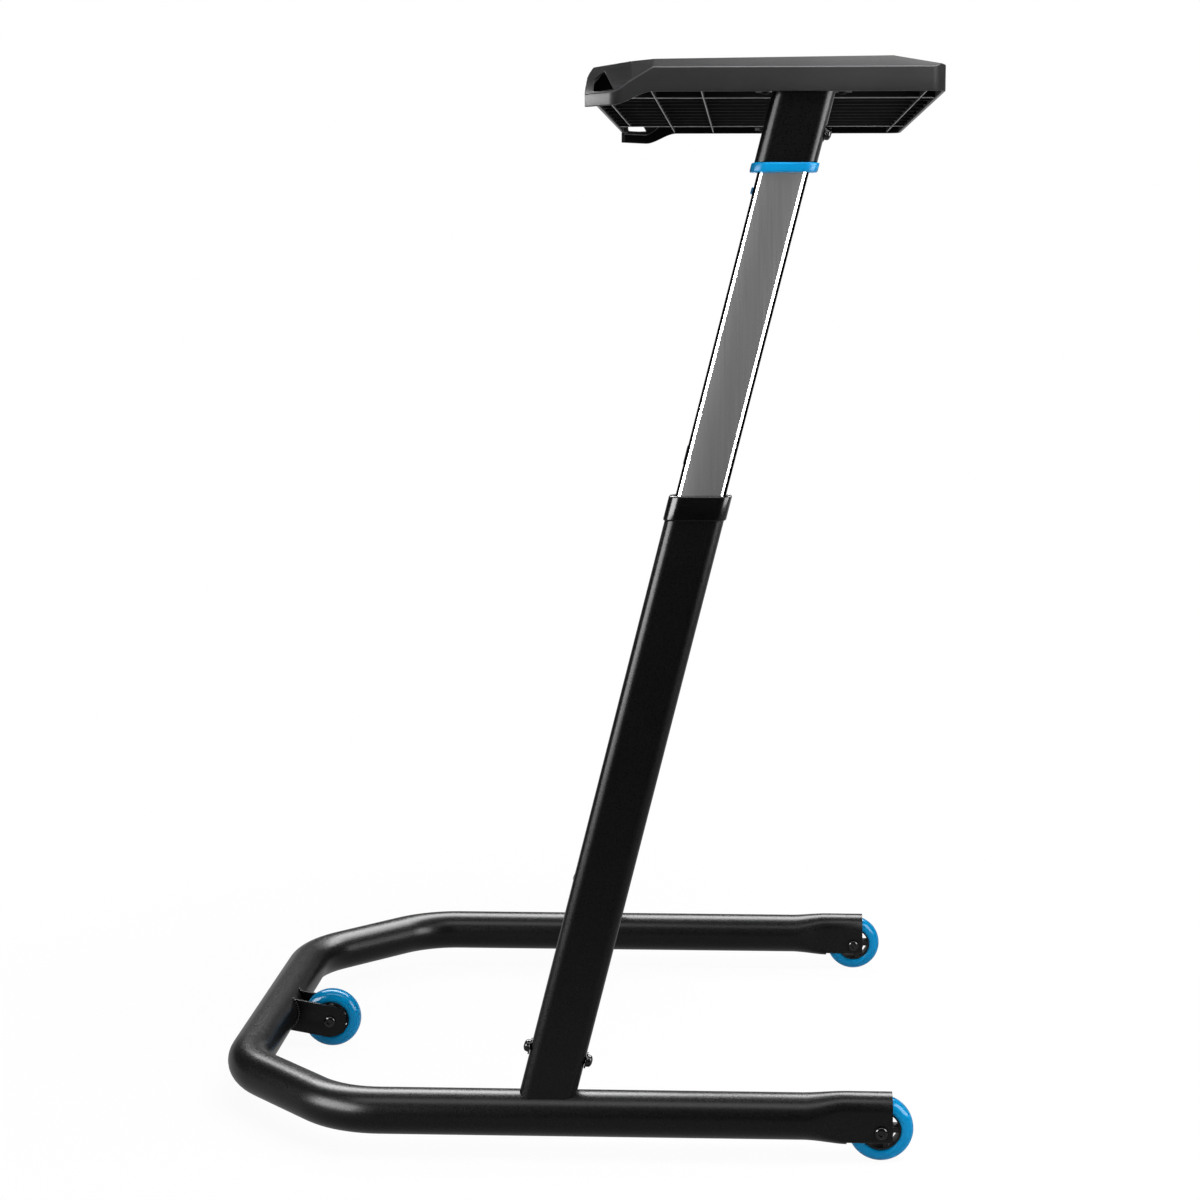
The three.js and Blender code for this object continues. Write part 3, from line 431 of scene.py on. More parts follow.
def tubeSection(squash, inset):
    mixed = lambda a, b: lerp(a, b, squash) - inset
    half = mixed(base["radius"], base["endHalfWidth"])
    top = mixed(base["radius"], base["endTop"] - desk["legHeight"])
    bottom = mixed(base["radius"], desk["legHeight"] - base["endBottom"])
    corner = mixed(base["radius"], base["endLowerCorner"])
    ring = []
    for k in range(base["around"]):
        angle = (k + 0.5) / base["around"] * 2 * math.pi
        upper = math.sin(angle) > 0
        centre = top - half if upper else corner - bottom
        ring.append((half * math.cos(angle), centre + (half if upper else corner) * math.sin(angle)))
    return ring


def tubeStations():
    z = desk["legHeight"]
    front = legY - base["cornerCut"]
    corners = [Vector(p) for p in (
        (desk["frontTubeX"] + base["cornerCut"], -legY, z), (desk["frontTubeX"], -front, z),
        (desk["frontTubeX"], front, z), (desk["frontTubeX"] + base["cornerCut"], legY, z))]
    start, end = Vector((base["legEndX"], -legY, z)), Vector((base["legEndX"], legY, z))
    leg = [(0, 1), (base["legEndX"] - base["slotFrontX"], 1)]
    for i in range(1, base["squashSteps"] + 1):
        t = i / base["squashSteps"]
        leg.append((leg[1][0] + t * base["squashLength"], 1 - t * t * (3 - 2 * t)))
    stations = [(start + Vector((-d, 0, 0)), Vector((-1, 0, 0)), s) for d, s in leg]
    for i, corner in enumerate(corners):
        into = (corner - (corners[i - 1] if i else start)).normalized()
        out = ((corners[i + 1] if i < 3 else end) - corner).normalized()
        turn = into.angle(out)
        first = corner - into * base["bendRadius"] * math.tan(turn / 2)
        centre = first + Vector((into.y, -into.x, 0)) * base["bendRadius"]
        for k in range(base["bendSteps"] + 1):
            spin = Matrix.Rotation(-turn * k / base["bendSteps"], 3, "Z")
            stations.append((centre + spin @ (first - centre), spin @ into, 0))
    stations += [(end + Vector((-d, 0, 0)), Vector((1, 0, 0)), s) for d, s in reversed(leg)]
    return stations


def buildBaseTube():
    def ring(station, inset):
        place, along, squash = station
        side = Vector((-along.y, along.x, 0))
        return [place + side * a + Vector((0, 0, up)) for a, up in tubeSection(squash, inset)]

    stations = tubeStations()
    rings = [ring(s, 0) for s in stations] + [ring(s, base["wall"]) for s in reversed(stations)]
    tube = loftPiece("baseTube", rings, closed=True)
    cutters = []
    reach = base["slotReach"]
    for y in (-legY, legY):
        cutters.append(boxPiece("slotCutter", (base["slotFrontX"], y - reach, 0),
                                (base["legEndX"] + 5, y + reach, base["slotTop"])))
        cutters.append(boreCutter(holeRadius, (desk["rearAxleX"], y, desk["axleHeight"]), (0, 1, 0), -reach, reach))
    cut(tube, cutters)
    addBevel(tube, base["edge"], 2, 50)
    bake(tube, 40)
    settle(tube, "base", "powder_coat", powderCoat, "base_tube")


buildBaseTube()
print("base tube made")

# Front wheel plates

plates = dict(inside=16.2, thickness=3, halfWidth=20, edge=0.6)
weldLine = dict(beads=17, sweep=52, radius=2.2, reach=1.5, lift=0.6, rings=7, around=10)


def weldBeads(name, side, pitch):
    # fillet weld along a plate's outer face, a row of overlapping ripples
    w = weldLine
    y = side * (plates["inside"] + plates["thickness"])
    beads = []
    for k in range(w["beads"]):
        angle = math.radians(lerp(-w["sweep"], w["sweep"], k / (w["beads"] - 1))) - pitch
        out, along = Vector((math.cos(angle), 0, math.sin(angle))), Vector((-math.sin(angle), 0, math.cos(angle)))
        spot = Vector((desk["frontTubeX"], y, desk["legHeight"])) + out * (base["radius"] + w["lift"])
        rings = []
        for j in range(w["rings"]):
            lift = lerp(-1, 1, j / (w["rings"] - 1))
            size = w["radius"] * math.sqrt(max(0.02, 1 - lift * lift))
            turns = [i / w["around"] * 2 * math.pi for i in range(w["around"])]
            rings.append([spot + along * lift * w["reach"] + out * size * math.cos(a)
                          + Vector((0, side * size * math.sin(a), 0)) for a in turns])
        beads.append(loftPiece("bead", rings))
    weld = join(f"weldBead_{name}", beads)
    cleanUp(weld)
    settle(shade(weld, 60), "base", "powder_coat", powderCoat)


def buildFrontPlates():
    dx = desk["frontAxleX"] - desk["frontTubeX"]
    dz = desk["axleHeight"] - desk["legHeight"]
    length, pitch = math.hypot(dx, dz), math.atan2(-dz, dx)
    outline = [(-length, -plates["halfWidth"]), (-length, plates["halfWidth"])]
    for k in range(33):
        angle = math.pi / 2 - k / 32 * math.pi
        outline.append((plates["halfWidth"] * math.cos(angle), plates["halfWidth"] * math.sin(angle)))
    spin = Matrix.Rotation(pitch, 3, "Y")
    place, tubeMiddle = Vector((desk["frontAxleX"], 0, desk["axleHeight"])), (desk["frontTubeX"], 0, desk["legHeight"])
    for side, name in ((-1, "near"), (1, "far")):
        rings = [[place + spin @ Vector((x, 0, z)) + Vector((0, side * y, 0)) for x, z in outline]
                 for y in (plates["inside"], plates["inside"] + plates["thickness"])]
        plate = loftPiece(f"frontPlate_{name}", rings)
        cleanUp(plate)
        cut(plate, [boreCutter(base["radius"] + tubeGap, tubeMiddle, (0, 1, 0), steps=96),
                    boreCutter(holeRadius, place, (0, 1, 0))])
        addBevel(plate, plates["edge"], 3, 40)
        bake(plate, 40)
        settle(plate, "base", "powder_coat", powderCoat, f"front_wheel_plate_{name}")
        weldBeads(name, side, pitch)


buildFrontPlates()
print("front wheel plates made")

# Wheels and axles

wheel = dict(radius=36, width=24, bore=22.4, edge=0.8, shoulder=3.5, tread=4.0)
hub = dict(width=20, gap=0.25, rim=2.0, core=14, throat=9, seatDepth=7.7, spokes=5, spokeThickness=6.5, spokeWidth=17,
           spokeCorner=1.2, flare=1.35, sink=0.8, root=0.4)
bearing = dict(radius=10.7, width=7, recess=0.4, outerRace=9, innerRace=6.2, shield=0.6)
axle = dict(head=7.0, headHeight=3.4, headRim=1.3, dome=math.radians(52), shank=4, socket=3.0, socketDepth=2.2,
            spacer=7, cheekOutside=18.2, cheekInside=16.2, plateOutside=19.2, barrelBore=2.7, barrelDepth=14.6,
            screw=2.4, screwDepth=14)


def tyreProfile():
    half, bore = wheel["width"] / 2, wheel["bore"]
    shoulder, tread = bore + wheel["shoulder"], wheel["tread"] / 2
    side = [(bore, half - wheel["edge"]), (bore + wheel["edge"], half), (shoulder, half)]
    for k in range(1, 13):
        angle = k / 12 * math.pi / 2
        side.append((lerp(shoulder, wheel["radius"], math.sin(angle)), lerp(tread, half, math.cos(angle))))
    return [(r, -a) for r, a in side] + [(r, a) for r, a in reversed(side)]


def hubPiece(name, place):
    h = hub
    outside = wheel["bore"] - h["gap"]
    inside = outside - h["rim"]
    half, core = h["width"] / 2, wheel["width"] / 2
    seat, floor = bearing["radius"] + fitGap, core - h["seatDepth"]
    rimLine = [(inside, 0), (inside, half), (outside, half), (outside, -half), (inside, -half), (inside, 0)]
    coreLine = [(h["throat"], 0), (h["throat"], floor), (seat, floor), (seat, core), (h["core"], core)]
    coreLine += [(r, -a) for r, a in reversed(coreLine)]
    pieces = [turnPiece("rim", softened(rimLine, 0.5), place, (0, 1, 0), 96, closed=True),
              turnPiece("core", softened(coreLine, 0.4), place, (0, 1, 0), 96, closed=True)]
    stations = ((h["core"] - h["sink"], h["flare"]), (h["core"] + h["root"], 1), (inside - h["root"], 1),
                (inside + h["sink"], h["flare"]))
    section = roundedRing(h["spokeWidth"], h["spokeThickness"], h["spokeCorner"], 4)
    for k in range(h["spokes"]):
        spin = Matrix.Rotation(2 * math.pi * k / h["spokes"], 3, "Y")
        pieces.append(loftPiece("spoke", [[Vector(place) + spin @ Vector((x, a, b * flare)) for a, b in section]
                                          for x, flare in stations]))
    whole = join(name, pieces)
    cleanUp(whole)
    return shade(whole)


def bearingPiece(name, place, side):
    b = bearing
    face = wheel["width"] / 2 - b["recess"]
    back, shield = face - b["width"], face - b["shield"]
    profile = [(holeRadius, back), (b["radius"], back), (b["radius"], face), (b["outerRace"], face),
               (b["outerRace"], shield), (b["innerRace"], shield), (b["innerRace"], face), (holeRadius, face),
               (holeRadius, back)]
    return shade(turnPiece(name, softened(profile, 0.3), place, (0, side, 0), 64, closed=True))


def headPoints(face):
    # domed head with a recess, ending on the axis
    a = axle
    rim, top = face + a["headRim"], face + a["headHeight"]
    dome = [(a["head"], face), (a["head"], rim)]
    for k in range(1, 7):
        angle = k / 6 * a["dome"]
        dome.append((a["head"] * math.cos(angle), rim + (top - rim) * math.sin(angle) / math.sin(a["dome"])))
    floor = top - a["socketDepth"]
    return dome + [(a["socket"], top), (a["socket"] - 0.5, floor), (0, floor)]


def buildWheel(prefix, body, place, outside, headSide):
    a, place = axle, Vector(place)
    tyre = shade(turnPiece(f"{prefix}Tyre", tyreProfile(), place, (0, 1, 0), 128, closed=True), 50)
    settle(tyre, body, "blue_polyurethane", castPolyurethane, f"{prefix}_tyre")
    settle(hubPiece(f"{prefix}Hub", place), body, "black_plastic", plainNylon, f"{prefix}_wheel_hub")
    near, far = wheel["width"] / 2 - bearing["recess"] + fitGap, a["cheekInside"] - fitGap
    spacerLine = softened([(holeRadius, near), (bearing["innerRace"], near), (a["spacer"], near + 0.4),
                           (a["spacer"], far), (holeRadius, far), (holeRadius, near)], 0.2)
    for letter, side in (("a", 1), ("b", -1)):
        settle(bearingPiece(f"{prefix}Bearing_{letter}", place, side), body, "bearing_steel", groundSteel,
               f"{prefix}_wheel_bearing_{letter}")
        spacer = shade(turnPiece(f"{prefix}Spacer_{letter}", spacerLine, place, (0, side, 0), 48, closed=True))
        settle(spacer, "base", "black_steel", blackOxide, f"{prefix}_axle_spacer_{letter}")
    face, end = outside + fitGap, fitGap - outside
    bottom, tip = a["barrelDepth"] - outside, outside - a["screwDepth"]
    barrelLine = [(0, bottom), (a["barrelBore"], bottom), (a["barrelBore"], end), (a["shank"], end),
                  (a["shank"], face), *headPoints(face)]
    screwLine = [(0, tip), (a["screw"], tip), (a["screw"], face), *headPoints(face)]
    for part, line, side in (("Barrel", barrelLine, headSide), ("Screw", screwLine, -headSide)):
        piece = turnPiece(f"{prefix}Axle{part}", line, place, (0, side, 0), 48)
        settle(shade(piece), "base", "black_steel", blackOxide, f"{prefix}_axle_{part.lower()}")


buildWheel("near_rear", "near_wheel", (desk["rearAxleX"], -legY, desk["axleHeight"]), axle["cheekOutside"], -1)
buildWheel("far_rear", "far_wheel", (desk["rearAxleX"], legY, desk["axleHeight"]), axle["cheekOutside"], 1)
buildWheel("front", "front_wheel", (desk["frontAxleX"], 0, desk["axleHeight"]), axle["plateOutside"], -1)
print("wheels made")

# Posts, collars and sleeves: level cuts of a leaning section

post = dict(bottomZ=57.5, topZ=726.8, width=61.2, depth=30, corner=12, wall=2, edge=0.5, footBolt=70, upperBolt=1102,
            boltReach=50)
inner = dict(bottomZ=497.5, topZ=1141.0, width=51.8, depth=21, corner=6, wall=1.8,
             edgePoints=((0, 6.2), (0.5, 4.6), (2.0, 2.3), (5.2, 0.15), (5.6, 0)))
lowerCollar = dict(bottomZ=704, topZ=730.5, width=65.2, depth=34, corner=13.5, edge=1.8, lip=3.4, bushing=50, lead=0.6)
upperCollar = dict(bottomZ=1068.1, topZ=1078.0, width=68.8, depth=37, corner=14.5, edge=1.6, plug=15, lead=0.6)
sleeve = dict(bottomZ=1078.3, topZ=1152.7, width=63.6, depth=31.6, corner=12.6, wall=3.2, edge=0.5)


def sized(section, grow):
    # width, depth and corner of a section that stands out by so much all round
    return section["width"] + 2 * grow, section["depth"] + 2 * grow, section["corner"] + grow


def levelRing(section, y, z):
    return [(leanX(z) + a / cosLean, y + b, z) for a, b in section]


def leaningShell(name, y, walls):
    # walls: (z, width, depth, corner) up the outside and down the inside
    rings = [levelRing(roundedRing(width, depth, max(0.8, corner)), y, z) for z, width, depth, corner in walls]
    return loftPiece(name, rings, closed=True)


def tubeWalls(c):
    low, high, edge = c["bottomZ"], c["topZ"], c["edge"]
    return [(low, *sized(c, -edge)), (low + edge, *sized(c, 0)), (high - edge, *sized(c, 0)), (high, *sized(c, -edge)),
            (high, *sized(c, -c["wall"])), (low, *sized(c, -c["wall"]))]


def collarSkin(c):
    # the outside of a collar, with both its edges rounded
    return ([(c["bottomZ"] + rise, *sized(c, -grow)) for grow, rise in quarterRound(c["edge"], 4)]
            + [(c["topZ"] - drop, *sized(c, -grow)) for drop, grow in quarterRound(c["edge"], 4)])


def innerPostPiece(name, y):
    # the extruded section: flat faces, a chamfer beside each and rounded narrow sides; the material paints a highlight
    # on the chamfers and shade on the narrow sides
    def section(inset):
        w, d = inner["width"] / 2 - inset, inner["depth"] / 2 - inset
        quarter = [(w, 0)] + [(w - a, d - b) for a, b in inner["edgePoints"]]
        half = quarter + [(-a, b) for a, b in reversed(quarter)]
        return half[:-1] + [(a, -b) for a, b in reversed(half[1:])]

    low, high, wall = inner["bottomZ"], inner["topZ"], inner["wall"]
    rings = [levelRing(section(inset), y, z) for z, inset in ((low, 0), (high, 0), (high, wall), (low, wall))]
    piece = loftPiece(name, rings, closed=True)
    cleanUp(piece)
    return piece


def buildPost(name, y):
    across = (cosLean, 0, -sinLean)
    lower = leaningShell(f"{name}LowerPost", y, tubeWalls(post))
    reach = post["boltReach"]
    cut(lower, [boreCutter(base["radius"] + tubeGap, (desk["postFootX"], y, desk["legHeight"]), (1, 0, 0), steps=128),
                boreCutter(holeRadius, onPost(post["footBolt"], 0, y), across, -reach, reach)])
    settle(shade(lower, 40), "base", "powder_coat", powderCoat, f"{name}_lower_post")

    # the lower collar caps the post and reaches into it as a bushing
    c, plug = lowerCollar, sized(post, -post["wall"] - fitGap)
    bore, seat = sized(inner, slideGap), sized(post, fitGap)
    lipZ, bushingZ = c["topZ"] - c["lip"], c["topZ"] - c["lip"] - c["bushing"]
    walls = [*collarSkin(c), (c["topZ"], *sized(inner, slideGap + c["lead"])), (c["topZ"] - c["lead"], *bore),
             (bushingZ, *bore), (bushingZ, *plug), (lipZ, *plug), (lipZ, *seat), (c["bottomZ"], *seat)]
    collar = leaningShell(f"{name}LowerCollar", y, walls)
    settle(shade(collar, 40), "base", "black_plastic", glossNylon, f"{name}_lower_collar")

    extrusion = innerPostPiece(f"{name}InnerPost", y)
    # where each point lies across the post, which places the painted highlight and painted shade of its material
    marks = extrusion.data.attributes.new("across", "FLOAT", "POINT")
    for point, mark in zip(extrusion.data.vertices, marks.data):
        x, _, z = point.co / mm
        mark.value = (x - leanX(z)) * cosLean / (inner["width"] / 2)
    settle(shade(extrusion, 22), "top", "anodised_aluminium", anodisedAluminium, f"{name}_inner_post")

    # the upper collar closes the sleeve, with a plug inside it around the inner post
    c, grip = upperCollar, sized(inner, fitGap)
    plugZ = c["topZ"] + c["plug"]
    walls = [*collarSkin(c), (c["topZ"], *sized(post, c["lead"] - post["wall"] - fitGap)), (c["topZ"], *plug),
             (plugZ, *plug), (plugZ, *grip), (c["bottomZ"], *grip)]
    collar = leaningShell(f"{name}UpperCollar", y, walls)
    settle(shade(collar, 40), "top", "blue_plastic", blueAbs, f"{name}_upper_collar")

    tube = leaningShell(f"{name}UpperSleeve", y, tubeWalls(sleeve))
    cut(tube, [boreCutter(holeRadius, onPost(post["upperBolt"], 0, y), across, 0, reach)])
    settle(shade(tube, 40), "top", "powder_coat", powderCoat, f"{name}_upper_sleeve")


bolt = dict(shank=4, shankLength=14, washer=9, washerThickness=1.7, spring=6.9, springThickness=1.6, head=6.6,
            headHeight=4.4, headRim=0.8, socket=2.5, socketDepth=2.6)


def boltPiece(name, along, towards, y):
    b = bolt
    washer = fitGap + b["washerThickness"]
    spring = washer + b["springThickness"]
    rim = spring + b["headRim"]
    profile = softened([(b["shank"], -b["shankLength"]), (b["shank"], fitGap), (b["washer"], fitGap),
                        (b["washer"], washer), (b["spring"], washer), (b["spring"], spring), (b["head"], spring),
                        (b["head"], rim)], 0.35)
    for k in range(1, 8):
        angle = k / 8 * math.pi / 2
        profile.append((b["head"] * math.cos(angle) ** 0.8, rim + (b["headHeight"] - b["headRim"]) * math.sin(angle)))
    profile = [p for p in profile if p[0] > b["socket"] or p[1] < spring]
    top = spring + b["headHeight"]
    profile += [(b["socket"], top), (b["socket"] - 0.3, top - b["socketDepth"]), (0, top - b["socketDepth"])]
    profile.insert(0, (0, -b["shankLength"]))
    piece = turnPiece(name, profile, onPost(along, towards * post["width"] / 2, y),
                      (towards * cosLean, 0, -towards * sinLean), 48)
    return shade(piece, 40)


for sideName, sideY in (("near", -legY), ("far", legY)):
    buildPost(sideName, sideY)
    for part, along, towards, body, node in (("FootBoltFront", post["footBolt"], -1, "base", "foot_bolt_front"),
                                             ("FootBoltRear", post["footBolt"], 1, "base", "foot_bolt_rear"),
                                             ("UpperBolt", post["upperBolt"], 1, "top", "upper_bolt")):
        settle(boltPiece(f"{sideName}{part}", along, towards, sideY), body, "black_steel", blackOxide,
               f"{sideName}_{node}")
print("posts made")

# Height lock: the lobed knob, beside the boss on the post and its pad, which stay as CAD nodes

lock = dict(z=650, gripRadius=15, gripThickness=13, lobe=1.6, lobes=6, neckRadius=9, neckLength=4, neckEdge=0.5,
            studRadius=4, studEdge=0.6, edge=2.0, dishRadius=7.5, dishEdge=0.8, dishDepth=0.8, around=96)


def lockKnob(name, y):
    # threaded stud, neck and lobed grip in one lofted skin, along the axis that points inwards
    k = lock
    low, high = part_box(f"{name}_lock_knob")
    inward = 1 if y < 0 else -1
    tip, end = (low[1] / mm, high[1] / mm)[::inward]
    grip = end - inward * k["gripThickness"]
    neck = grip - inward * k["neckLength"]
    stud, collar, stop = k["studRadius"], k["neckRadius"], k["gripRadius"]
    stations = [(stud - k["studEdge"], 0, tip), (stud, 0, tip + inward * k["studEdge"]), (stud, 0, neck),
                (collar - k["neckEdge"], 0, neck), (collar, 0, neck + inward * k["neckEdge"]), (collar, 0, grip)]
    stations += [(stop - back, k["lobe"], grip + inward * along) for back, along in quarterRound(k["edge"], 5)]
    stations += [(stop - back, k["lobe"], end - inward * along) for along, back in quarterRound(k["edge"], 5)]
    stations += [(k["dishRadius"] + k["dishEdge"], 0, end), (k["dishRadius"], 0, end - inward * k["dishDepth"])]
    rings = []
    for radius, lobe, place in stations:
        ring = []
        for step in range(k["around"]):
            angle = -inward * step / k["around"] * 2 * math.pi
            r = radius - lobe + lobe * math.cos(k["lobes"] * angle)
            ring.append((leanX(k["z"]) + r * math.cos(angle), place, k["z"] + r * math.sin(angle)))
        rings.append(ring)
    return shade(loftPiece(f"{name}LockKnob", rings), 40)


for sideName, sideY in (("near", -legY), ("far", legY)):
    settle(lockKnob(sideName, sideY), f"{sideName}_lock", "black_plastic", plainNylon, f"{sideName}_lock_knob")
print("lock knobs made")

# CAD nodes that keep their own shape
kept = {
    "post_stub": powderCoat, "lock_boss": powderCoat, "sleeve_plate": phosphatedSteel, "lock_pad": plainNylon,
    "post_glide": plainNylon, "post_insert": blackOxide,
}
for name, piece in nodes.items():
    for ending, material in kept.items():
        if name.endswith(ending):
            dress(piece, material)
print("kept nodes dressed")

# Desktop: the moulded shell

top = dict(depth=374, wallHeight=24.7, bevelHeight=11.3, bevelInset=12, wall=3, slopeDepth=54, riderRise=2.2,
           riderRadius=14, rimDrop=13.5, rimHeight=12.9, rampStart=31, rampLength=42, chamfer=33, chamferRound=20,
           scoopInset=22, scoopPitches=(math.radians(40), math.radians(68)), scoopLength=36, rearSlopeDepth=74.5,
           rearSlopeDrop=31, rearShares=((0, 0.92), (0.02, 0.5), (0.05, 0.34), (0.11, 0.14), (0.27, 0.115), (1, 0)),
           rearRound=1.5, rearLow=2.4, riderHigh=0.8, riseStart=40, edge=0.9, creaseHighlightBand=2.2, creaseHighlightReach=40)
window = dict(fromRear=9.5, length=23, topLength=11, height=22, rearHeight=14, aboveRim=2.5, reach=45, corner=2.0)
matField = dict(depth=1, margin=30, corner=16, fromRear=78)
rimBottomZ = desk["edgeZ"] - top["rimDrop"]
rimTopZ = rimBottomZ + top["rimHeight"]
creaseZ = desk["edgeZ"] + top["wallHeight"]
topZ = creaseZ + top["bevelHeight"]
deskHalf = desk["width"] / 2
cutReach = 4  # how far a cut runs past the shell


def topRise(fromRear):
    # the upper face rises a little towards the rider
    run = top["depth"] - top["slopeDepth"] - top["riseStart"]
    return lerp(-top["rearLow"], top["riderHigh"], min(1, max(0, fromRear - top["riseStart"]) / run))


def rearDrop(fromRear):
    share = min(1, fromRear / top["rearSlopeDepth"])
    for (placeA, dropA), (placeB, dropB) in zip(top["rearShares"], top["rearShares"][1:]):
        if share <= placeB:
            return top["rearSlopeDrop"] * lerp(dropA, dropB, (share - placeA) / (placeB - placeA))


def creaseRamp(fromRear):
    return min(1, max(0, (fromRear - top["rampStart"]) / top["rampLength"]))


def deskSection(fromRear, inset, lower):
    ramp = creaseRamp(fromRear)
    soft = ramp * ramp * (3 - 2 * ramp)
    fromRider = min(1, (top["depth"] - fromRear) / top["slopeDepth"])
    crease = lerp(rimTopZ, creaseZ, ramp) - inset / 2
    bottom = lerp(rimBottomZ, desk["edgeZ"], soft) - lower
    bevel = lerp(top["riderRise"], lerp(top["scoopInset"], top["bevelInset"], ramp), fromRider) + inset / 2
    crown = lerp(top["riderRise"], top["bevelHeight"] + topRise(fromRear), fromRider)
    high = creaseZ + crown - rearDrop(fromRear) - inset
    half = deskHalf - inset
    x = desk["rearX"] + fromRear
    return [(x, y, z) for y, z in ((half, bottom), (half, crease), (half - bevel, high), (bevel - half, high),
                                   (-half, crease), (-half, bottom))]


def deskOutline(inset):
    # corner points from above with their rounding, then the rounded outline
    half, rear, rider = deskHalf - inset, inset, top["depth"] - inset
    chamfer = top["chamfer"] - inset * (2 - math.sqrt(2))
    corners = [((rider, -half), top["riderRadius"] - inset), ((rider, half), top["riderRadius"] - inset),
               ((rear + chamfer, half), top["chamferRound"]), ((rear, half - chamfer), top["rearRound"]),
               ((rear, chamfer - half), top["rearRound"]), ((rear + chamfer, -half), top["chamferRound"])]
    outline = []
    for i, (corner, radius) in enumerate(corners):
        here = Vector(corner)
        into = (here - Vector(corners[i - 1][0])).normalized()
        out = (Vector(corners[(i + 1) % 6][0]) - here).normalized()
        turn = into.angle(out)
        first = here - into * radius * math.tan(turn / 2)
        centre = first + Vector((-into.y, into.x)) * radius
        steps = max(3, round(turn / math.radians(8)))
        for k in range(steps + 1):
            outline.append(centre + Matrix.Rotation(turn * k / steps, 2) @ (first - centre))
    rings = [[(desk["rearX"] + p.x, p.y, z) for p in outline] for z in (rimBottomZ - cutReach, topZ + cutReach)]
    return loftPiece("outlineCutter", rings)


def scoopCutter(side, inset):
    # hollow face above the chamfered corner, which gets steeper towards the top
    reach, steps = 2 * top["rearSlopeDepth"], 12
    inward, up = Vector((1, -side, 0)).normalized(), Vector((0, 0, 1))
    rim = Vector((desk["rearX"] + top["chamfer"] / 2, side * (deskHalf - top["chamfer"] / 2), rimTopZ))
    profile, run, rise = [], 0, 0
    for k in range(steps + 1):
        pitch = lerp(*top["scoopPitches"], k / steps)
        profile.append((run + inset * math.sin(pitch), rise - inset * math.cos(pitch)))
        run += top["scoopLength"] / steps * math.cos(pitch)
        rise += top["scoopLength"] / steps * math.sin(pitch)
    first, last = (Vector((math.cos(a), math.sin(a))) * reach for a in top["scoopPitches"])
    profile.insert(0, (profile[0][0] - first.x, profile[0][1] - first.y))
    profile += [(profile[-1][0] + last.x, profile[-1][1] + last.y), (-reach, profile[-1][1] + last.y)]
    axis = inward.cross(up)
    return loftPiece("scoopCutter", [[rim + axis * a + inward * h + up * v for h, v in profile]
                                     for a in (-reach / 2, reach / 2)])


def deskSkin(name, inset, lower, innerFaces=False):
    places = {share * top["rearSlopeDepth"] for share, _ in top["rearShares"]}
    places |= {top["rampStart"] + k / 20 * top["rampLength"] for k in range(21)}
    places |= {top["depth"] - top["slopeDepth"], top["depth"]}
    skin = loftPiece(name, [deskSection(place, inset, lower) for place in sorted(places)])
    cleanUp(skin)
    cut(skin, [deskOutline(inset)], "INTERSECT")
    cut(skin, [scoopCutter(1, inset), scoopCutter(-1, inset)])
    # the inner faces take the painted shade material
    if innerFaces:
        for face in skin.data.polygons:
            face.material_index = 1
    return skin


def windowCutter(side):
    w = window
    x, z = desk["rearX"] + w["fromRear"], rimTopZ + w["aboveRim"]
    outline = [(x, z), (x + w["length"], z), (x + w["topLength"], z + w["height"]), (x, z + w["rearHeight"])]
    outline = softenedLoop(outline, w["corner"])
    rings = [[(a, side * y, b) for a, b in outline] for y in (deskHalf - w["reach"], deskHalf + cutReach)]
    cutter = loftPiece("windowCutter", rings)
    cleanUp(cutter)
    return cutter


def buildDeskShell():
    shell = deskSkin("deskShell", 0, 0)
    for material in (grainedAbs, innerAbs, mat, burnishedAbs):
        shell.data.materials.append(material)
    hollow = deskSkin("hollow", top["wall"], lower=2, innerFaces=True)
    for material in (grainedAbs, innerAbs):
        hollow.data.materials.append(material)
    between = boxPiece("between", (desk["rearX"] - 2, top["chamfer"] - deskHalf, rimBottomZ - 2),
                       (desk["rearX"] + top["rampStart"], deskHalf - top["chamfer"], desk["edgeZ"]))
    field = matField
    fieldEnd = top["depth"] - top["slopeDepth"] - field["margin"] / 2
    fieldWidth = desk["width"] - 2 * (top["bevelInset"] + field["margin"])
    ring = roundedRing(fieldEnd - field["fromRear"], fieldWidth, field["corner"])
    middle = desk["rearX"] + (fieldEnd + field["fromRear"]) / 2
    fieldZ = lambda a: topZ - field["depth"] + topRise(middle + a - desk["rearX"])
    recess = loftPiece("recess", [[(middle + a, b, fieldZ(a) + lift) for a, b in ring] for lift in (0, 5)])
    cut(shell, [hollow, between, windowCutter(1), windowCutter(-1), recess])
    # slivers left by the cuts would spoil the rounded edges
    cleanUp(shell, 0.2 * mm, 0.1 * mm, math.radians(1))
    # the rounded edges take the painted highlight material, which is kept only along the crease below
    addBevel(shell, top["edge"], 3, 28, use_clamp_overlap=False, material=3)
    bake(shell, 30)
    for face in shell.data.polygons:
        x, y, z = face.center / mm
        if face.normal.z > 0.9 and abs(z - fieldZ(x - middle)) < 0.3:
            face.material_index = 2
        # only the crease keeps the painted highlight, the other edges stay grained
        away = abs(z - lerp(rimTopZ, creaseZ, creaseRamp(x - desk["rearX"])))
        if face.material_index == 3 and (away > top["creaseHighlightBand"] or abs(y) < deskHalf - top["creaseHighlightReach"]):
            face.material_index = 0
    settle(shell, "top", "textured_plastic", None, "desktop")


buildDeskShell()
print("desktop shell made")

# Ribs and screws under the desktop, repeated by Geometry Nodes

ribs = dict(thin=2, thick=3, span=500, fineCount=8, longRise=1.7, fineRise=2.6, crossRise=1.3,
            crossFromRear=(17.5, 70.5, 122.5, 355.5), edgeHeight=0.9, crossEdge=(0.5, 0.4))
plateScrews = dict(spanX=81, outward=10, inward=33, plateZ=1153, headRadius=4.2, headHeight=2.4, headRim=0.7,
                   socket=1.6, socketDepth=0.9)


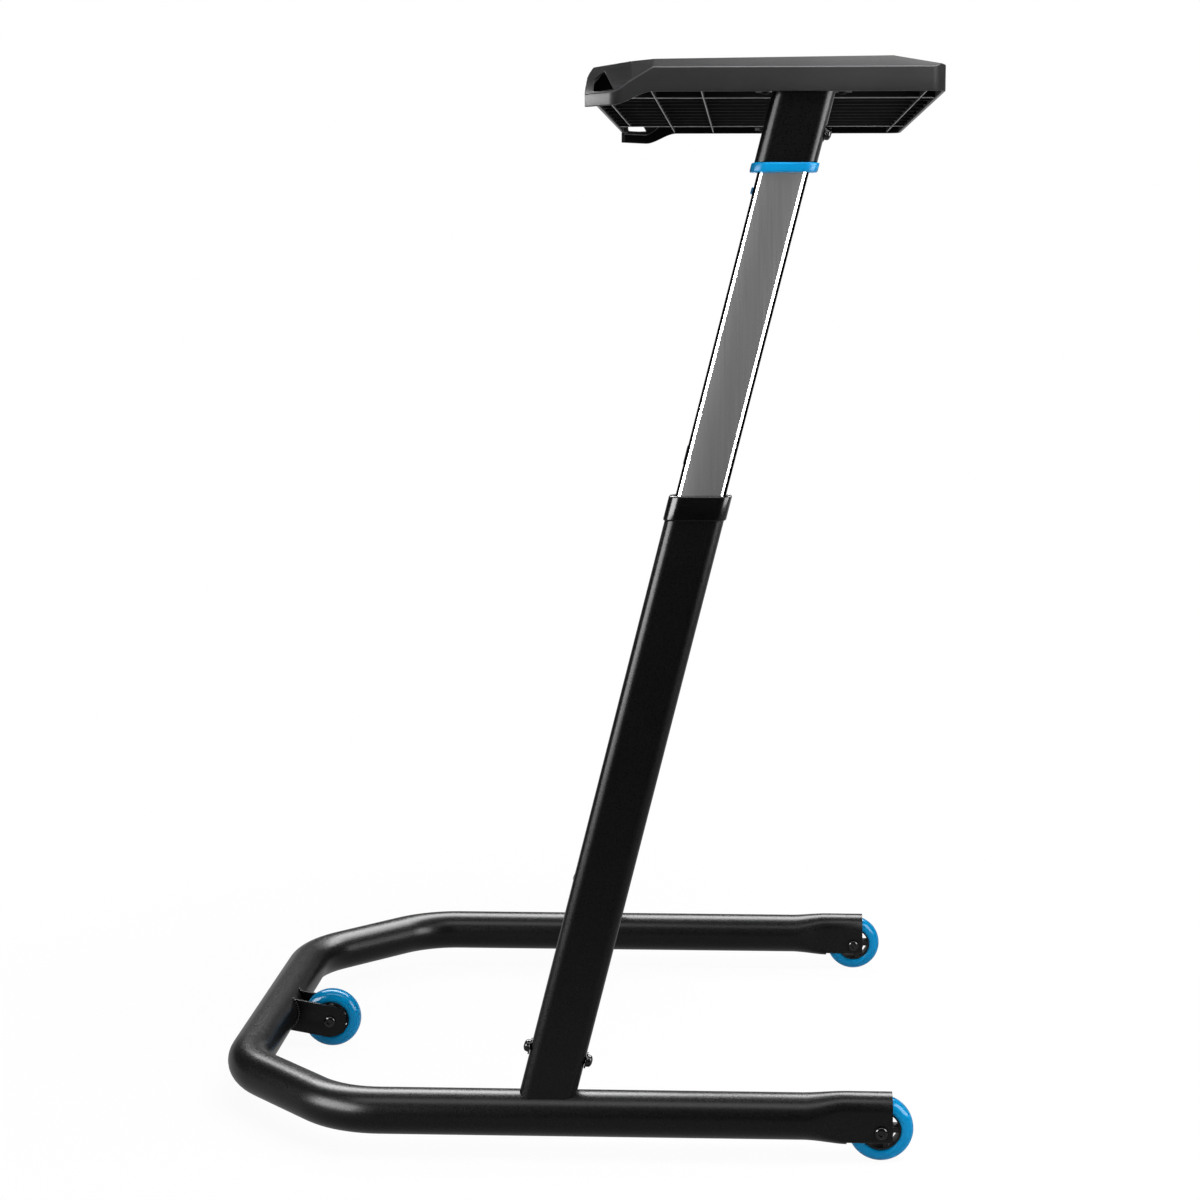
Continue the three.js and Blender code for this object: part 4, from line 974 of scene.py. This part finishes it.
def newTree(name, inputs):
    tree = bpy.data.node_groups.new(name, "GeometryNodeTree")
    for label, kind in inputs.items():
        tree.interface.new_socket(name=label, in_out="INPUT", socket_type=f"NodeSocket{kind}")
    tree.interface.new_socket(name="Geometry", in_out="OUTPUT", socket_type="NodeSocketGeometry")
    return tree, tree.nodes.new("NodeGroupInput"), tree.nodes.new("NodeGroupOutput")


def grow(name, tree, values, points=((0, 0, 0),)):
    # runs a tree on a handful of points and keeps the plain mesh that comes out
    piece = makePiece(name, points, [])
    piece.data.materials.append(values["Material"])
    modifier = piece.modifiers.new(name, "NODES")
    modifier.node_group = tree
    for item in tree.interface.items_tree:
        if item.item_type == "SOCKET" and item.in_out == "INPUT" and item.name in values:
            modifier[item.identifier] = values[item.name]
    return bake(piece, 35)


def finishTree(tree, given, result, placed):
    real = addNode(tree, "RealizeInstances", None, {"Geometry": (placed, "Instances")})
    dressed = addNode(tree, "SetMaterial", None, {"Geometry": (real, "Geometry"), "Material": (given, "Material")})
    tree.links.new(dressed.outputs["Geometry"], result.inputs["Geometry"])
    return tree


def ribRowTree():
    tree, given, result = newTree("ribRow", {"Geometry": "Geometry", "Count": "Int", "Start": "Vector",
                                             "Step": "Vector", "Size": "Vector", "Material": "Material"})
    row = addNode(tree, "MeshLine", {"mode": "OFFSET"},
                  {"Count": (given, "Count"), "Start Location": (given, "Start"), "Offset": (given, "Step")})
    rib = addNode(tree, "MeshCube", None, {"Size": (given, "Size")})
    placed = addNode(tree, "InstanceOnPoints", None, {"Points": (row, "Mesh"), "Instance": (rib, "Mesh")})
    return finishTree(tree, given, result, placed)


def scatterTree():
    tree, given, result = newTree("onPoints", {"Geometry": "Geometry", "Piece": "Object", "Material": "Material"})
    info = addNode(tree, "ObjectInfo", None, {"Object": (given, "Piece")})
    placed = addNode(tree, "InstanceOnPoints", None, {"Points": (given, "Geometry"), "Instance": (info, "Geometry")})
    return finishTree(tree, given, result, placed)


def ribRow(tree, count, start, step, size, rise, edge, edgeHeight, edgeSize=None):
    # the ribs themselves and the strip along their lower edges in the finish given for it, a painted highlight on the
    # long and cross ribs
    bodies = []
    for part, low, high, plan, finish in (("rib", rise + edgeHeight, topZ - desk["edgeZ"], size, innerAbs),
                                          ("edge", rise, rise + edgeHeight, edgeSize or size, edge)):
        middle = desk["edgeZ"] + (low + high) / 2
        piece = grow(part, tree, {
            "Count": count, "Start": (start[0] * mm, start[1] * mm, middle * mm), "Step": [v * mm for v in (*step, 0)],
            "Size": [v * mm for v in (*plan, high - low)], "Material": finish})
        cut(piece, [deskSkin("inside", top["wall"] / 2, 0)], "INTERSECT")
        bodies.append(dress(piece, finish))
    return bodies


def buildDeskRibs():
    tree = ribRowTree()
    middle, full = desk["rearX"] + top["depth"] / 2, top["depth"] - 2
    bays, height = ribs["fineCount"] + 1, ribs["edgeHeight"]
    rows = ribRow(tree, ribs["fineCount"], (middle, ribs["span"] * (1 / bays - 0.5)), (0, ribs["span"] / bays),
                  (full, ribs["thin"]), ribs["fineRise"], innerAbs, height)
    rows += ribRow(tree, 2, (middle, -ribs["span"] / 2), (0, ribs["span"]), (full, ribs["thick"]), ribs["longRise"],
                   rubbedAbs, height)
    edgeWidth, edgeHeight = ribs["crossEdge"]
    for k, place in enumerate(ribs["crossFromRear"]):
        # the first one ends at the long ribs, short of the windows
        reach = desk["width"] - 4 if k else ribs["span"]
        rows += ribRow(tree, 1, (desk["rearX"] + place, 0), (0, 0), (ribs["thin"], reach), ribs["crossRise"],
                       rubbedAbs, edgeHeight, (edgeWidth, reach))
    settle(shade(join("deskRibs", rows), 35), "top", "textured_plastic", None)


def buildPlateScrews():
    s = plateScrews
    radius, height, rim = s["headRadius"], s["headHeight"], s["headRim"]
    head = [(0, 0), (radius, 0), (radius, -rim)]
    for k in range(1, 6):
        angle = k / 6 * math.pi / 2
        head.append((radius * math.cos(angle), -rim - (height - rim) * math.sin(angle)))
    floor = s["socketDepth"] - height
    head += [(s["socket"], -height), (s["socket"] - 0.4, floor), (0, floor)]
    screw = shade(turnPiece("screwHead", head, (0, 0, 0), (0, 0, 1), 24))
    points = [(leanX(s["plateZ"]) + end * s["spanX"], side * (legY + offset), s["plateZ"] - fitGap)
              for side in (-1, 1) for offset in (s["outward"], -s["inward"]) for end in (-0.5, 0.5)]
    heads = grow("plateScrewHeads", scatterTree(), {"Piece": screw, "Material": phosphatedSteel}, points)
    settle(heads, "top", "black_steel", phosphatedSteel)
    bpy.data.objects.remove(screw)


buildDeskRibs()
buildPlateScrews()
print("ribs and plate screws made")

# Camera

camera = dict(place=(0.2080, -2.7749, 0.9684), yaw=0.0370, pitch=0.1260, roll=0.0003, lens=68.90,
              shiftX=-0.0557, shiftY=-0.0333)
eye = bpy.data.objects.new("camera", bpy.data.cameras.new("camera"))
eye.data.lens = camera["lens"]
eye.data.sensor_width = 36
eye.data.shift_x = camera["shiftX"]
eye.data.shift_y = camera["shiftY"]
eye.matrix_world = (Matrix.Translation(camera["place"]) @ Matrix.Rotation(camera["yaw"], 4, "Z")
                    @ Matrix.Rotation(math.pi / 2 - camera["pitch"], 4, "X") @ Matrix.Rotation(camera["roll"], 4, "Z"))
bpy.context.scene.collection.objects.link(eye)
bpy.context.scene.camera = eye

# Floor, world and lamps

studio = dict(floorSize=14.0, worldLight=0.2, roomGloss=0.06, floorTone="#e6e6e6", floorGloss=0.5, floorShow=0.95,
              shadowStart=0.6, shadowReach=1.1)


def eyeOrGloss(tree):
    # 1 for the eye and for what reflects or lets through, 0 for the light that falls on the object
    path = addNode(tree, "LightPath")
    gloss = addNode(tree, "Math", {"operation": "MAXIMUM"},
                    {0: (path, "Is Glossy Ray"), 1: (path, "Is Transmission Ray")})
    return path, addNode(tree, "Math", {"operation": "MAXIMUM"}, {0: (path, "Is Camera Ray"), 1: (gloss, 0)})


def buildWorld():
    world = bpy.data.worlds.new("studioWorld")
    bpy.context.scene.world = world
    world.use_nodes = True
    tree = world.node_tree
    tree.nodes.clear()
    path, seen = eyeOrGloss(tree)
    # reflections find the white backdrop low behind the object and a dim room everywhere else
    coords = addNode(tree, "TexCoord")
    axes = addNode(tree, "SeparateXYZ", None, {"Vector": (coords, "Generated")})
    behind = addNode(tree, "MapRange", {"From Min": 0.75, "From Max": 0.97}, {"Value": (axes, "Y")})
    low = addNode(tree, "MapRange", {"From Min": 0.14, "From Max": 0.02}, {"Value": (axes, "Z")})
    both = addNode(tree, "Math", {"operation": "MULTIPLY"}, {0: (behind, "Result"), 1: (low, "Result")})
    room = addNode(tree, "MapRange", {"To Min": studio["roomGloss"], "To Max": 1.0}, {"Value": (both, 0)})
    white = addNode(tree, "Background", {"Color": (1, 1, 1, 1), "Strength": 1.0})
    dim = addNode(tree, "Background", {"Color": (1, 1, 1, 1)}, {"Strength": (room, "Result")})
    lit = addNode(tree, "Background", {"Color": (1, 1, 1, 1), "Strength": studio["worldLight"]})
    shown = addNode(tree, "MixShader", None, {0: (path, "Is Camera Ray"), 1: (dim, 0), 2: (white, 0)})
    mix = addNode(tree, "MixShader", None, {0: (seen, 0), 1: (lit, 0), 2: (shown, 0)})
    addNode(tree, "OutputWorld", None, {"Surface": (mix, 0)})


def buildFloor():
    half = studio["floorSize"] / 2 / mm
    corners = [(-half, -half, 0), (half, -half, 0), (half, half, 0), (-half, half, 0)]
    floor = makePiece("floor", corners, [(0, 1, 2, 3)])
    material, tree, shader = newMaterial("paintedFloor")
    tree.nodes.remove(shader)
    matt = addNode(tree, "BsdfDiffuse", {"Color": hexColour(studio["floorTone"])})
    path, seen = eyeOrGloss(tree)
    coords = addNode(tree, "TexCoord")
    # white for the eye, in reflections it dims towards the near side
    axes = addNode(tree, "SeparateXYZ", None, {"Vector": (coords, "Object")})
    near = addNode(tree, "MapRange", {"interpolation_type": "SMOOTHSTEP", "From Min": -2.2, "From Max": -0.2,
                                      "To Min": studio["roomGloss"] / 2, "To Max": studio["floorGloss"]},
                   {"Value": (axes, "Y")})
    behind = addNode(tree, "MapRange", {"From Min": 0.8, "From Max": 2.5, "To Max": studio["floorGloss"]},
                     {"Value": (axes, "Y")})
    depth = addNode(tree, "Math", None, {0: (near, "Result"), 1: (behind, "Result")})
    level = addNode(tree, "Math", {"operation": "MAXIMUM"}, {0: (path, "Is Camera Ray"), 1: (depth, 0)})
    glow = addNode(tree, "Emission", {"Color": (1, 1, 1, 1)}, {"Strength": (level, 0)})
    # the shadow shows close to the object and fades into plain white further out
    far = addNode(tree, "VectorMath", {"operation": "LENGTH"}, {0: (coords, "Object")})
    show = addNode(tree, "MapRange", {"From Min": studio["shadowStart"], "From Max": studio["shadowReach"],
                                      "To Min": studio["floorShow"], "To Max": 1.0}, {"Value": (far, "Value")})
    share = addNode(tree, "Math", {"operation": "MULTIPLY"}, {0: (seen, 0), 1: (show, "Result")})
    mix = addNode(tree, "MixShader", None, {0: (share, 0), 1: (matt, 0), 2: (glow, 0)})
    tree.links.new(mix.outputs[0], tree.nodes["Material Output"].inputs["Surface"])
    floor.data.materials.append(material)


# The plain lamps light the object. The others are only seen in glossy surfaces, and each skips some pieces
# or falls on them only, so that it draws its own band along the tubes, the posts or the desktop.
shellPiece = ["deskShell"]
innerPosts = ["nearInnerPost", "farInnerPost"]
lamps = {
    "backTop": dict(place=(0.1, 2.2, 3.0), aim=(0.1, 0, 0.3), size=(4.0, 1.6), power=70),
    "frontTop": dict(place=(1.1, -0.9, 3.0), aim=(0.2, 0, 0.3), size=(2.4, 1.2), power=110),
    "frontRight": dict(place=(1.5, -1.6, 1.2), aim=(0.2, 0, 0.9), size=(0.8, 0.8), power=9),
    "sheenBack": dict(place=(0.1, 2.2, 3.1), aim=(0.1, 0, 0.3), size=(5.0, 1.8), power=600, skip=shellPiece),
    "sheenTop": dict(place=(0.9, 0.1, 3.0), aim=(0.4, -0.2, 1.2), size=(1.6, 1.2), power=30, only=shellPiece),
    "sheenCorner": dict(place=(-1.5, 0.0, 1.25), aim=(-0.15, -0.35, 1.1), size=(0.4, 0.6), power=34, only=shellPiece),
    "sheenScoop": dict(place=(-0.8, 2.1, 2.6), aim=(-0.15, -0.35, 1.1), size=(0.8, 0.8), power=20, only=shellPiece),
    "sheenCrease": dict(place=(0.3, -1.5, 3.0), aim=(0.1, -0.35, 1.1), size=(1.6, 0.5), power=48, only=shellPiece),
    "sheenWall": dict(place=(1.3, -2.5, 1.4), aim=(0.1, -0.35, 1.1), size=(0.6, 0.6), power=16, only=shellPiece),
    "sheenPost": dict(place=(-2.4, -1.15, 1.2), aim=(0.05, -0.35, 0.9), size=(1.5, 1.5), power=260, only=innerPosts),
    "sheenFlat": dict(place=(0.1, -3.4, 1.3), aim=(0.1, -0.35, 0.8), size=(3.4, 3.0), power=2.5, only=innerPosts),
    "sheenFront": dict(place=(0.1, -1.5, 3.0), aim=(0.1, 0, 0.0), size=(3.6, 1.2), power=66, skip=shellPiece),
    "sheenLeft": dict(place=(-2.4, -1.95, 1.25), aim=(0.1, -0.4, 1.0), size=(2.5, 1.5), power=270,
                      skip=shellPiece + innerPosts),
    "sheenRight": dict(place=(1.6, -0.75, 0.9), aim=(0.1, -0.35, 0.8), size=(1.1, 1.2), power=62, skip=shellPiece),
}


def buildLamps():
    for name, lamp in lamps.items():
        light = bpy.data.lights.new(name, "AREA")
        light.shape = "RECTANGLE"
        light.size, light.size_y = lamp["size"]
        light.energy = lamp["power"]
        holder = bpy.data.objects.new(name, light)
        holder.location = lamp["place"]
        holder.rotation_euler = (Vector(lamp["aim"]) - Vector(lamp["place"])).to_track_quat("-Z", "Y").to_euler()
        sheen = "skip" in lamp or "only" in lamp
        holder.visible_camera = False
        holder.visible_diffuse = not sheen
        holder.visible_glossy = sheen
        # flags that keep a lamp off some pieces, or on one alone
        for state, pieces in (("EXCLUDE", lamp.get("skip")), ("INCLUDE", lamp.get("only"))):
            if pieces:
                flag = bpy.data.collections.new(f"{name}Flag")
                for i, piece in enumerate(pieces):
                    flag.objects.link(bpy.data.objects[piece])
                    flag.collection_objects[i].light_linking.link_state = state
                holder.light_linking.receiver_collection = flag
        bpy.context.scene.collection.objects.link(holder)


buildWorld()
buildFloor()
buildLamps()
bpy.context.scene.view_settings.view_transform = "Standard"
print("studio made")
